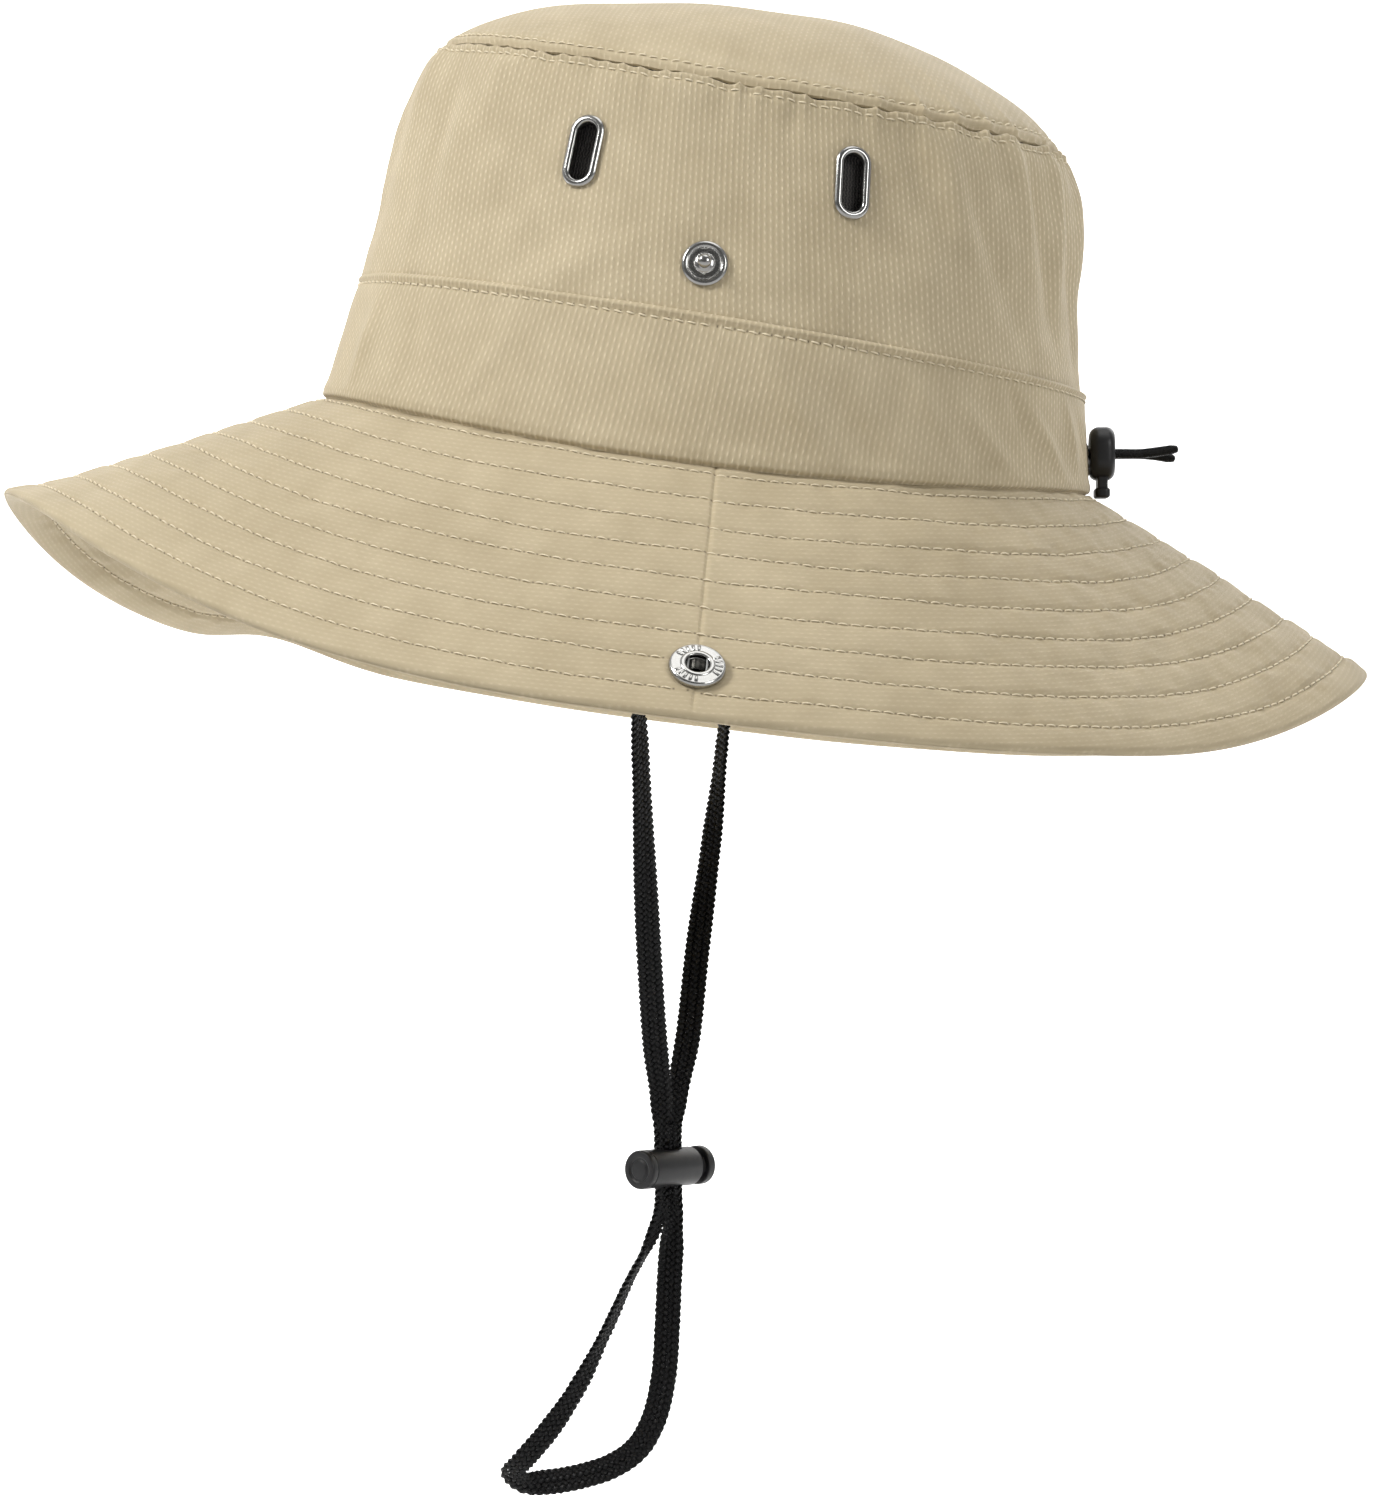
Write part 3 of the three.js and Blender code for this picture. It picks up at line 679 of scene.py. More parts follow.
def pucker(theta, seed, pitch):
    """Uneven gathers along a seam, sharp in the valleys."""
    ring = np.stack([np.cos(theta) * TOP["x"], np.sin(theta) * TOP["y"], 0 * theta], -1)
    wave = waves(ring, pitch, seed, 5)
    return 1 - 2 * np.abs(wave) ** 0.7


# folds of the side panel and the band: angle and height of the middle, length, lean in degrees, width, depth
WALL_FOLDS = [
    (-74, 52, 60, 4, 7, 0.9), (-61, 40, 46, -6, 5, -0.6), (-84, 30, 50, 3, 6, 0.7),
    (-48, 58, 26, 12, 4, 0.4), (30, 50, 30, -24, 4, -0.5), (38, 44, 52, -20, 5, 0.7),
    (47, 30, 44, -30, 4.5, -0.7), (56, 48, 40, -8, 4, 0.8), (63, 34, 48, -14, 4, -0.7),
    (70, 44, 44, 6, 3.6, 0.8), (77, 28, 46, -10, 4, -0.6), (84, 40, 50, 4, 5, 0.8),
    (98, 42, 46, 8, 5, 0.8), (112, 36, 50, 12, 5, -0.7), (124, 46, 40, 18, 4.5, 0.6),
    (138, 34, 46, 24, 5, 0.5), (222, 40, 44, -10, 5, 0.5), (236, 50, 40, 6, 5, -0.5),
    (250, 36, 50, -6, 6, 0.7), (262, 46, 50, 4, 6, 0.6), (18, 14, 30, -50, 4, 0.35),
    (-20, 12, 34, 60, 4.5, 0.3), (8, 58, 16, 10, 3, -0.3), (-32, 22, 36, 40, 5, 0.3),
]
BAND_FOLDS = [
    (-66, 14, 26, 8, 3.4, 0.5), (-52, 16, 24, -14, 3, -0.4), (-36, 12, 22, 30, 3.4, 0.35),
    (-8, 14, 30, -38, 3.4, 0.4), (12, 14, 34, -42, 3, 0.55), (22, 10, 30, -50, 3, -0.5),
    (34, 16, 26, -40, 2.8, 0.5), (45, 12, 28, -46, 2.8, 0.6), (53, 18, 24, -30, 2.6, -0.5),
    (61, 12, 26, -44, 2.6, 0.6), (70, 16, 24, -20, 2.6, 0.5), (79, 12, 24, -36, 2.6, -0.4),
    (100, 15, 24, 30, 3, 0.5), (118, 13, 26, 42, 3, 0.5), (135, 15, 24, 36, 3, 0.45),
    (205, 15, 26, -30, 3, 0.4), (228, 13, 26, -24, 3, 0.4), (248, 15, 24, -12, 3, 0.45),
]


def folds(theta, height, listed):
    """Soft creases of the cloth: rounded ridges or valleys along short leaning lines."""
    total = 0 * theta
    for angle, middle, length, lean, width, depth in listed:
        turn = (theta - math.radians(angle) + math.pi) % (2 * math.pi) - math.pi
        x, y = turn * 86, height - middle
        c, s = math.cos(math.radians(lean)), math.sin(math.radians(lean))
        along, across = x * s + y * c, x * c - y * s
        total = total + 2.2 * depth * bump(across, width) * bump(along, length / 2)
    return total


def wall_relief(theta, down):
    """How far the side panel's cloth stands out from its smooth shape."""
    points = wall(theta, down, 0 * theta)
    below_seam = down * WALL_HEIGHT
    height = (1 - down) * WALL_HEIGHT
    soft = 0.7 * waves(points, 58, 3) + 0.32 * waves(points, 21, 4) + 0.1 * waves(points, 9, 5)
    soft += folds(theta, height, WALL_FOLDS)
    back = 0.5 + 0.5 * np.sin(theta)
    gathers = (0.25 + 0.7 * back) * pucker(theta, 11, 9) * np.exp(-below_seam / 6.5)
    gathers += 0.14 * pucker(theta, 12, 5) * np.exp(-below_seam / 2.5)
    near_band = 0.12 * pucker(theta, 13, 8) * np.exp(-np.maximum(height, 0) / 4)
    relief = (soft * (1 - bump(below_seam, 5)) + gathers + near_band) * mask_hardware(points)
    relief -= 0.95 * bump(below_seam, 0.9) + 0.3 * bump(below_seam - SEAM_ROW, 0.7)
    for f in EYELET_FRAMES.values():
        relief -= 0.2 * bump(oblong_distance(points, f, EYELET["half"]) - 5.2, 1.4)
    for f in STUD_FRAMES.values():
        relief -= 0.2 * bump(oblong_distance(points, f, 0) - 6.2, 1.4)
    return np.where(height < -1, np.minimum(relief, 0.1), relief)


def dome_relief(theta, reach):
    points = dome(theta, reach, 0 * theta)
    from_seam = (1 - reach) * TOP_RADIUS
    back = 0.5 + 0.5 * np.sin(theta)
    soft = 0.8 * waves(points, 70, 21) + 0.25 * waves(points, 24, 22)
    gathers = (0.2 + 0.35 * back) * pucker(theta, 14, 10) * np.exp(-from_seam / 6)
    gathers += 0.12 * pucker(theta, 15, 5) * np.exp(-from_seam / 2.5)
    relief = soft * (1 - bump(from_seam, 8)) + gathers
    return relief - 0.9 * bump(from_seam, 0.9) - 0.28 * bump(from_seam - SEAM_ROW, 0.7)


def wall_mm(theta, below, out):
    return wall(theta, below / WALL_HEIGHT, out)


def band_mm(theta, below, out):
    return wall(theta, 1 + below / BAND_HEIGHT, out)


def crown_columns(count):
    return np.arange(count) * 2 * math.pi / count


def wrapped_uv(surface, theta, along, v, origin_row):
    """UVs in metres: u is the arc length of one row of the grid, so that the cloth's ribs run straight."""
    line = surface(theta[origin_row], along[origin_row], 0 * theta[0])
    length = path_length(np.concatenate([line, line[:1]]))
    wide = closed(v)
    return np.stack([np.broadcast_to(length, wide.shape), wide], -1) * MM


def make_top_panel():
    reach = np.concatenate([np.linspace(0.01, 0.9, 80), np.linspace(0.905, 0.998, 22)])
    theta, reach = np.meshgrid(crown_columns(540), reach)
    relief = dome_relief(theta, reach)
    outer, inner = dome(theta, reach, relief), dome(theta, reach, relief - 0.6)
    uv = closed(dome(theta, reach, 0 * theta))[..., :2] * MM
    made = panel("crown_top", outer, inner, uv, True, MATERIALS["top"], cap=True)
    attach(made, "crown", "crown_top_panel")


def make_side_panel():
    down = np.concatenate([np.linspace(0.004, 0.12, 22), np.linspace(0.133, 1.0, 68), [1.08, 1.16]])
    theta, down = np.meshgrid(crown_columns(640), down)
    holes = [(f, EYELET["half"], 3.5, 0.75) for f in EYELET_FRAMES.values()]
    holes += [(f, 0, 2.2, 0.75) for f in STUD_FRAMES.values()]
    theta, along, keep = snapped(theta, down * WALL_HEIGHT, wall_mm, holes)
    down = along / WALL_HEIGHT
    relief = wall_relief(theta, down)
    outer, inner = wall(theta, down, relief), wall(theta, down, relief - 0.6)
    uv = wrapped_uv(wall, theta, down, (1 - down) * WALL_HEIGHT, 50)
    made = panel("crown_side", outer, inner, uv, True, MATERIALS["side"], keep=keep)
    attach(made, "crown", "crown_side_panel")


def band_relief(theta, below):
    """How far the band's face stands out; below is the distance under its folded edge."""
    points = band_mm(theta, below, 0 * theta)
    soft = 0.4 * waves(points, 40, 31) + 0.2 * waves(points, 14, 32)
    soft += folds(theta, BAND_HEIGHT - below, BAND_FOLDS)
    calm = (1 - bump(below, 4)) * (1 - bump(BAND_HEIGHT - below, 3))
    gathers = 0.08 * pucker(theta, 33, 9) * np.exp(-(BAND_HEIGHT - below) / 4)
    fold = 0.45 * bump(below - 0.75, 0.6) - 0.28 * bump(below - BAND_ROW, 0.6)
    tucked = -0.5 * bump(below, 0.22) - 1.35 * bump(BAND_HEIGHT + 0.35 - below, 0.55)
    return soft * calm + gathers + fold + tucked + 0.25 * bump(BAND_HEIGHT - 2.4 - below, 1.4)


# the drawcord's way out through the band
EXIT_FRAME = standing_on(wall, math.pi / 2, 1 + 19.4 / BAND_HEIGHT, -1)


def make_band():
    below = np.concatenate([[0, 0.12, 0.3, 0.5], np.linspace(0.7, 3.2, 14), np.linspace(3.6, 27, 44)])
    below = np.concatenate([below, np.linspace(27.4, 29.6, 9), [29.8, 30.0, 30.2, 30.4]])
    theta, below = np.meshgrid(crown_columns(640), below)
    theta, below, keep = snapped(theta, below, band_mm, [(EXIT_FRAME, 0.0, 2.9, 0.6)])
    from_exit = oblong_distance(band_mm(theta, below, 0 * theta), EXIT_FRAME, 0)
    relief = band_relief(theta, below) + 0.5 * bump(from_exit - 3.6, 0.7)
    outer = band_mm(theta, below, 1.1 + relief)
    inner = band_mm(theta, below, 0.45 + np.minimum(relief, 0.3))
    uv = wrapped_uv(band_mm, theta, below, below, 30)
    made = panel("crown_lower_band", outer, inner, uv, True, MATERIALS["band"], keep=keep)
    attach(made, "crown", "crown_band")


def make_lining():
    theta, reach = np.meshgrid(crown_columns(240), np.linspace(0.01, 0.97, 40))
    theta_low, down = np.meshgrid(crown_columns(240), np.linspace(0.02, 0.96, 30))
    outer, inner = (
        np.concatenate([dome(theta, reach, out + 0 * theta), wall(theta_low, down, out + 0 * theta_low)])
        for out in (-3.2, -3.8)
    )
    around = np.concatenate([theta, theta_low])
    sag = np.abs(0.35 * waves(outer, 30, 41)[..., None] * outward(around))
    v = closed(np.concatenate([reach * TOP_RADIUS, TOP_RADIUS + down * WALL_HEIGHT]))
    u = np.concatenate([around, around[:, :1] + 2 * math.pi], axis=1) * TOP_RADIUS
    uv = np.stack([u, v], -1) * MM
    outer, inner = outer - sag, inner - sag
    made = panel("crown_lining", outer, inner, uv, True, MATERIALS["knit"], cap=True)
    attach(made, "crown", "crown_mesh_lining")


def make_sweatband():
    below = np.concatenate([[0, 0.3, 0.7], np.linspace(1.2, 28.5, 40), np.linspace(28.9, 31.2, 8)])
    theta, below = np.meshgrid(crown_columns(360), below)
    points = band_mm(theta, below, 0 * theta)
    edge = np.clip(np.minimum(below, 29.7 - below), 0, None)
    hem = 2.3 * smoothstep(np.clip((below - 28.3) / 2.9, 0, 1))
    pad = 0.5 * (1 - np.exp(-edge / 2)) + 0.12 * waves(points, 18, 51) - 0.3 * bump(edge - 2, 0.6)
    outer = band_mm(theta, below, hem - 4.6)
    inner = band_mm(theta, below, hem - 5.2 - pad)
    uv = wrapped_uv(band_mm, theta, below, below, 20)
    made = panel("sweatband_tape", outer, inner, uv, True, MATERIALS["tape"])
    attach(made, "crown", "sweatband")


def make_crown_stitching():
    def dome_mm(theta, from_seam, out):
        return dome(theta, 1 - from_seam / TOP_RADIUS, out)

    def sweat_mm(theta, below, out):
        return band_mm(theta, below, -out)

    def top_face(theta, from_seam):
        return dome_relief(theta, 1 - from_seam / TOP_RADIUS)

    def side_face(theta, below):
        return wall_relief(theta, below / WALL_HEIGHT)

    def band_face(theta, below):
        return 1.1 + band_relief(theta, below)

    def sweat_face(theta, below):
        return 5.3 + 0 * theta

    jobs = [
        ("top_seam_stitching_upper", dome_mm, SEAM_ROW, SEAM_PITCH, top_face),
        ("top_seam_stitching_lower", wall_mm, SEAM_ROW, SEAM_PITCH, side_face),
        ("band_stitching", band_mm, BAND_ROW, BAND_PITCH, band_face),
        ("sweatband_stitching_upper", sweat_mm, 2.0, 3.4, sweat_face),
        ("sweatband_stitching_lower", sweat_mm, 27.7, 3.4, sweat_face),
    ]
    for seed, (name, surface, along, pitch, face) in enumerate(jobs, 61):
        ends = row_of_stitches(surface, lambda t: along + 0 * t, pitch, 0, 2 * math.pi, 0, 0.12, seed)
        points = [surface(t, a, face(t, a) + 0.05) for t, a in ends]
        middle = (ends[0][0] + ends[1][0]) / 2, (ends[0][1] + ends[1][1]) / 2
        normal = surface_normal(surface, *middle, face(*middle))
        inward = -1 if surface is sweat_mm else 1
        away = outward(middle[0]) + np.array([0, 0, 0.4])
        normal *= np.sign((normal * away).sum(-1, keepdims=True)) * inward
        attach(stitches(name, *points, normal), "crown")


# ------------------------------------------------------------------ brim

SIDE_SEAM = math.radians(SOCKET["angle"])


def row_shift(theta, along):
    """The rows of stitching wander a little, and step at the two side seams."""
    ring = np.stack([np.cos(theta) * 120, np.sin(theta) * 150, along * 6], -1)
    step = 0.35 * np.tanh((np.sin(theta) - math.sin(SIDE_SEAM)) * 120)
    return 0.42 * waves(ring, 70, 71) + step


def brim_lift(theta, along):
    """Unevenness shared by every layer: the front tip turns up and the edge waves, away from the snaps."""
    share = np.clip(along / BRIM_WIDTH, 0, 1)
    front = bump((np.degrees(theta) + 90 + 180) % 360 - 180, 34)
    lip = 2.6 * front * np.clip((along - 72) / 18, 0, 1) ** 2
    ring = np.stack([np.cos(theta) * 150, np.sin(theta) * 180, 0 * theta], -1)
    calm = np.clip(np.abs(np.sin(theta - SIDE_SEAM)) * 2.2 - 0.25, 0, 1)
    long_waves = 1.1 * waves(ring, 150, 72) * share ** 3
    short_waves = 0.5 * waves(ring + along[..., None] * 0.5, 60, 73) * share ** 2
    return lip + calm * (long_waves + short_waves)


def side_seam_distance(theta, along):
    """Signed distance from the nearer side seam, positive towards the back."""
    radius = 93 + along * 0.75
    left = np.sin(theta - SIDE_SEAM)
    right = np.sin(math.pi - SIDE_SEAM - theta)
    return np.where(np.cos(theta) > 0, left, right) * radius


def brim_relief(theta, along, face):
    """Quilting between the rows, pulled in along each row and puckered where the thread is tight."""
    v = along - row_shift(theta, along)
    first, spacing, last = BRIM_ROWS["first"], BRIM_ROWS["spacing"], BRIM_ROWS["count"] - 1
    row = (v - first) / spacing
    from_row = (row - np.clip(np.round(row), 0, last)) * spacing
    ring = brim(theta, along, 0 * theta)
    back = 0.45 + 0.55 * np.clip(np.sin(theta), 0, 1)
    pull = (-0.42 - 0.25 * face) * bump(from_row, 0.95)
    full = 0.2 * (1 - bump(from_row, 2.8))
    tight = (0.34 * back + 0.3 * face) * waves(ring, 7, 74) * bump(np.abs(from_row) - 1.8, 2.0)
    soft = 0.34 * back * waves(ring, 17, 75 + face)
    d = side_seam_distance(theta, along)
    ridge = 0.1 * bump(d - 1.3, 0.9) - 0.42 * bump(d, 0.45)
    relief = pull + full + tight + soft + ridge - 0.75 * bump(along - 0.2, 1.0)
    clear = np.ones(theta.shape)
    for f in SOCKET_FRAMES.values():
        away = oblong_distance(ring, f, 0)
        clear *= 1 - bump(away, 7.5) ** 0.5 * (away < 30)
    return relief * np.clip(clear * 1.6, 0, 1) - 0.12 * (1 - clear)


def brim_surface(theta, along, out):
    return brim(theta, along, out + brim_lift(theta, along))


def half_start(half):
    """The angle where a half of the brim begins; it ends half a turn later."""
    return -math.pi / 2 if half > 0 else math.pi / 2


def half_middle(half):
    return 0.0 if half > 0 else math.pi


def brim_columns(half):
    """Angles of one half of the brim, closer together at its side seam."""
    side_seam = half_middle(half) + half * SIDE_SEAM
    even = half_start(half) + np.linspace(0, math.pi, 331)
    near = np.array([0.09, 0.225, 0.36, 0.54, 0.81])
    close = side_seam + np.radians(np.concatenate([-near, [0], near]))
    even = even[np.abs(even - side_seam) > math.radians(1.0)]
    return np.sort(np.concatenate([even, close]))


EDGE_RADIUS = 1.6
EDGE_START = BRIM_WIDTH - EDGE_RADIUS
CLOTH = 0.5
UNDERSIDE = -3.2  # the lower layer's face, under the upper one's
ROW_PLACES = [BRIM_ROWS["first"] + k * BRIM_ROWS["spacing"] for k in range(BRIM_ROWS["count"])]


def brim_section(face):
    """Stations of one brim layer: (along, height) of its outer and inner side, down to the turned edge."""
    near = (0, 0.4, 0.8, 1.2, 1.7, 2.4, 3.4)
    beside = {round(row + o, 2) for row in ROW_PLACES for o in (*near, *(-n for n in near), 4.5)}
    along = sorted({a for a in beside if 0.4 < a < EDGE_START - 0.2} | {-0.7, 0.0, 0.45})
    flat = [(a, 0.0, a, -CLOTH) for a in along]
    arc = []
    for angle in np.radians([0, 20, 40, 58, 72, 82, 88]):
        station = []
        for radius in (EDGE_RADIUS - 0.25 * max(0, angle - 1.3), EDGE_RADIUS - CLOTH):
            station += [EDGE_START + radius * math.sin(angle), radius * math.cos(angle) - EDGE_RADIUS]
        arc.append(tuple(station))
    table = np.array(flat + arc)
    if face == 1:
        table[:, [1, 3]] = UNDERSIDE - table[:, [1, 3]]
    return table


def brim_layer(word, half, face, name, replaced):
    section = brim_section(face)
    theta, along = np.meshgrid(brim_columns(half), section[:, 0])
    inner_along = np.broadcast_to(section[:, 2:3], theta.shape)
    holes = [(SOCKET_FRAMES[word], 0, 4.9, 0.5)]
    theta, moved, keep = snapped(theta, along, brim, holes, wrap=False)
    fade = 1 - np.clip(along - EDGE_START + 1, 0, 1)
    sign = 1 if face == 0 else -1
    relief = sign * brim_relief(theta, moved, face) * fade
    outer = brim_surface(theta, moved, section[:, 1:2] + relief)
    inner = brim_surface(theta, inner_along + moved - along, section[:, 3:4] + relief)
    length = arc_length(brim, theta, moved, half_middle(half))
    uv = np.stack([length, moved - row_shift(theta, moved)], -1) * MM
    made = panel(name, outer, inner, uv, False, MATERIALS["brim"], keep=keep)
    bend(made)
    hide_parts(*replaced)


def bend(piece):
    """Bakes the placement of the brim, and of all that is sewn to it, into its mesh."""
    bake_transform(piece)


def brim_stiffener(word, half):
    columns = half_start(half) + np.linspace(0, math.pi, 181)
    theta, along = np.meshgrid(columns, np.linspace(0.8, 87.4, 60))
    theta, along, keep = snapped(theta, along, brim, [(SOCKET_FRAMES[word], 0, 4.9, 1.0)], wrap=False)
    outer, inner = (brim_surface(theta, along, out + 0 * theta) for out in (-1.15, -2.05))
    uv = np.stack([theta * 120, along], -1) * MM
    name = "brim_stiffener_" + word
    made = panel(name, outer, inner, uv, False, MATERIALS["felt"], keep=keep)
    bend(made)
    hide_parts(f"brim_interlining_{word}_flap", "brim_interlining_main")


def brim_stitching(word, half, face):
    start, pitch = half_start(half), BRIM_ROWS["pitch"]
    height, sign = (0, 1) if face == 0 else (UNDERSIDE, -1)
    rows = []
    for k, base in enumerate(ROW_PLACES):
        along = lambda t, base=base: base + row_shift(t, base + 0 * t)
        seed = 80 + k + 20 * face
        a, b = row_of_stitches(brim, along, pitch, start, start + math.pi, half_middle(half), 0.1, seed)
        begin, end = (brim_surface(t, v, height + sign * (brim_relief(t, v, face) + 0.05)) for t, v in (a, b))
        middle = (a[0] + b[0]) / 2, (a[1] + b[1]) / 2
        normal = surface_normal(brim_surface, *middle, 0 * middle[0])
        normal *= np.sign(normal[:, 2:3]) * sign
        clear = oblong_distance((begin + end) / 2, SOCKET_FRAMES[word], 0) > SOCKET["radius"] + 1.6
        rows.append((begin[clear], end[clear], normal[clear]))
    where = "top_" if face == 0 else "under_"
    bend(stitches("brim_stitching_" + where + word, *(np.concatenate(part) for part in zip(*rows))))


def make_brim():
    for word, half in SIDES.items():
        upper = [f"brim_upper_{word}_flap", "brim_upper_main"]
        lower = [f"brim_underside_{word}_flap", "brim_underside_main"]
        brim_layer(word, half, 0, "brim_upper_" + word, upper)
        brim_layer(word, half, 1, "brim_lower_" + word, lower)
        brim_stiffener(word, half)
        for face in (0, 1):
            brim_stitching(word, half, face)


# ------------------------------------------------------------------ turned and moulded parts

def placed(points, frame_of):
    rotation, origin = frame_of
    return points @ rotation.T + origin


def turned(name, profile, frame_of, material, slot, sides=72, half=0.0, knurl=None, in_row=False):
    """A body turned about its own Z from (radius, height) points. half stretches it to an oblong along Y.

    knurl is a function of angle, radius and height that raises the surface."""
    profile = smooth_profile(profile)
    rows = len(profile)
    turn = (np.arange(sides) + 0.5) * 2 * math.pi / sides
    r, z = np.repeat(profile[:, :1], sides, 1), np.repeat(profile[:, 1:], sides, 1)
    a = np.broadcast_to(turn, r.shape)
    if knurl:
        z = z + knurl(a, r, z)
    y = r * np.sin(a)
    points = np.stack([r * np.cos(a), y + half * np.sign(np.sin(a)), z], -1)
    index, quads = tube_faces(rows, sides)
    faces = [quads]
    around = np.broadcast_to(a * 5, r.shape)
    distance = np.broadcast_to(np.arange(rows)[:, None] * 0.2, r.shape)
    uv_all = np.stack([around, distance], -1).reshape(-1, 2) * MM
    uvs = [uv_all[quads]]
    points = points.reshape(-1, 3)
    for row, flip in ((0, False), (rows - 1, True)):
        if profile[row, 0] < 0.06:
            points = np.concatenate([points, [[0, 0, profile[row, 1]]]])
            faces.append(fan(len(points) - 1, index[row], flip))
            uvs.append(np.zeros((sides, 3, 2)))
    if profile[0, 0] >= 0.06:
        last, first = index[-1], index[0]
        closing = np.stack([last, np.roll(last, -1), np.roll(first, -1), first], -1)
        faces.append(closing)
        uvs.append(uv_all[closing])
    points = placed(points, frame_of)
    points = points * MM if in_row else to_row(points)
    return build(name, points, faces, uvs, material, angle=38)


def smooth_profile(profile, radius=0.22):
    """A (radius, height) outline with its corners rounded off."""
    p = np.array(profile, float)
    out = [p[0]]
    for before, at, after in zip(p[:-2], p[1:-1], p[2:]):
        to_before, to_after = before - at, after - at
        reach = min(radius, 0.42 * np.linalg.norm(to_before), 0.42 * np.linalg.norm(to_after))
        a, b = at + unit(to_before) * reach, at + unit(to_after) * reach
        for t in (0, 0.25, 0.5, 0.75, 1):
            out.append(a * (1 - t) ** 2 + 2 * at * t * (1 - t) + b * t ** 2)
    out.append(p[-1])
    return np.array(out)


def swell(r, low, high):
    """0 at two radii and 1 half way between them."""
    return np.sin(np.clip((r - low) / (high - low), 0, 1) * math.pi)


def stud_rays(a, r, z):
    """Fine rays in the groove round the stud's ball."""
    zone = (r > 2.5) & (r < 4.45) & (z > 0.6)
    return np.where(zone, 0.28 * np.sin(36 * a) ** 2 * swell(r, 2.5, 4.45), 0)


def socket_marks(a, r, z):
    """Short raised bars in groups, in the ring between the socket's two rims."""
    zone = (r > 4.4) & (r < 6.35) & (z > 1.5)
    bar = np.clip(np.cos(24 * a) * 3, 0, 1) * (np.cos(3 * a) > -0.55)
    return np.where(zone, 0.26 * bar * swell(r, 4.4, 6.35) ** 0.5, 0)


def make_eyelets():
    inner, outer = EYELET["inner"], EYELET["outer"]
    ring = [
        (inner, -1.6), (inner, 0.5), (2.95, 1.05), (3.6, 1.25), (4.3, 1.05), (outer, 0.6), (outer, 0.3),
        (3.2, 0.3), (3.2, -1.6),
    ]
    for (word, end), f in EYELET_FRAMES.items():
        made = turned(f"eyelet_{word}_{end}", ring, f, MATERIALS["nickel"], "nickel", half=EYELET["half"])
        attach(made, "crown", f"{word}_{end}_eyelet")


def make_studs():
    radius = STUD["radius"]
    ball = [
        (0.02, 4.4), (0.6, 4.36), (1.15, 4.15), (1.55, 3.8), (1.78, 3.35), (1.8, 3.0), (1.62, 2.5),
        (1.3, 2.1), (1.5, 1.5), (2.3, 1.2),
    ]
    groove = [(r, 0.85) for r in (2.6, 2.9, 3.2, 3.5, 3.8, 4.1, 4.3)]
    rim = [(4.75, 1.15), (5.4, 1.1), (radius, 0.7), (radius, 0.35), (0.02, 0.35)]
    for word, f in STUD_FRAMES.items():
        made = turned(
            f"stud_{word}", ball + groove + rim, f, MATERIALS["nickel"], "nickel", sides=288, knurl=stud_rays,
        )
        attach(made, "crown", f"{word}_snap_stud")


def make_sockets():
    hole, radius, barrel = SOCKET["hole"], SOCKET["radius"], SOCKET["barrel"]
    flange = [
        (hole, -3.1), (hole, 0.65), (4.9, 0.65), (4.9, 1.55), (hole, 1.55), (hole, 1.95), (3.4, 2.12),
        (4.0, 2.1), (4.3, 1.9), (4.7, 1.86), (5.1, 1.84), (5.5, 1.8), (5.9, 1.76), (6.2, 1.74),
        (6.5, 1.8), (6.85, 1.6), (radius, 1.1), (radius, 0.35), (barrel, 0.35), (barrel, -3.1),
    ]
    cap = [(0.02, -3.6), (6.2, -3.6), (6.6, -3.5), (6.9, -4), (6.3, -4.6), (4.0, -4.9), (0.02, -5)]
    nickel = (MATERIALS["nickel"], "nickel")
    for word, f in SOCKET_FRAMES.items():
        made = turned(f"socket_{word}", flange, f, *nickel, sides=288, knurl=socket_marks)
        attach(made, word + "_flap", f"{word}_snap_socket")
        made = turned(f"socket_cap_{word}", cap, f, *nickel)
        attach(made, word + "_flap", f"{word}_snap_socket_cap")


def make_fittings():
    make_eyelets()
    make_studs()
    make_sockets()
    for word in SIDES:
        for node in ("snap_stud_post", "front_eyelet_washer", "back_eyelet_washer"):
            paint(f"{word}_{node}", MATERIALS["nickel"])
        paint(word + "_snap_socket_spring", MATERIALS["steel"])


def paint(node, material):
    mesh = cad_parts[node].data
    mesh.materials.clear()
    mesh.materials.append(material)


def apply_boolean(made, cutters):
    for cutter in cutters:
        modifier = made.modifiers.new("cut", "BOOLEAN")
        modifier.object = cutter
        modifier.solver = "EXACT"
    depsgraph = bpy.context.evaluated_depsgraph_get()
    mesh = bpy.data.meshes.new_from_object(made.evaluated_get(depsgraph))
    made.modifiers.clear()
    old = made.data
    made.data = mesh
    bpy.data.meshes.remove(old)
    mesh.set_sharp_from_angle(angle=math.radians(32))
    for cutter in cutters:
        bpy.data.objects.remove(cutter)


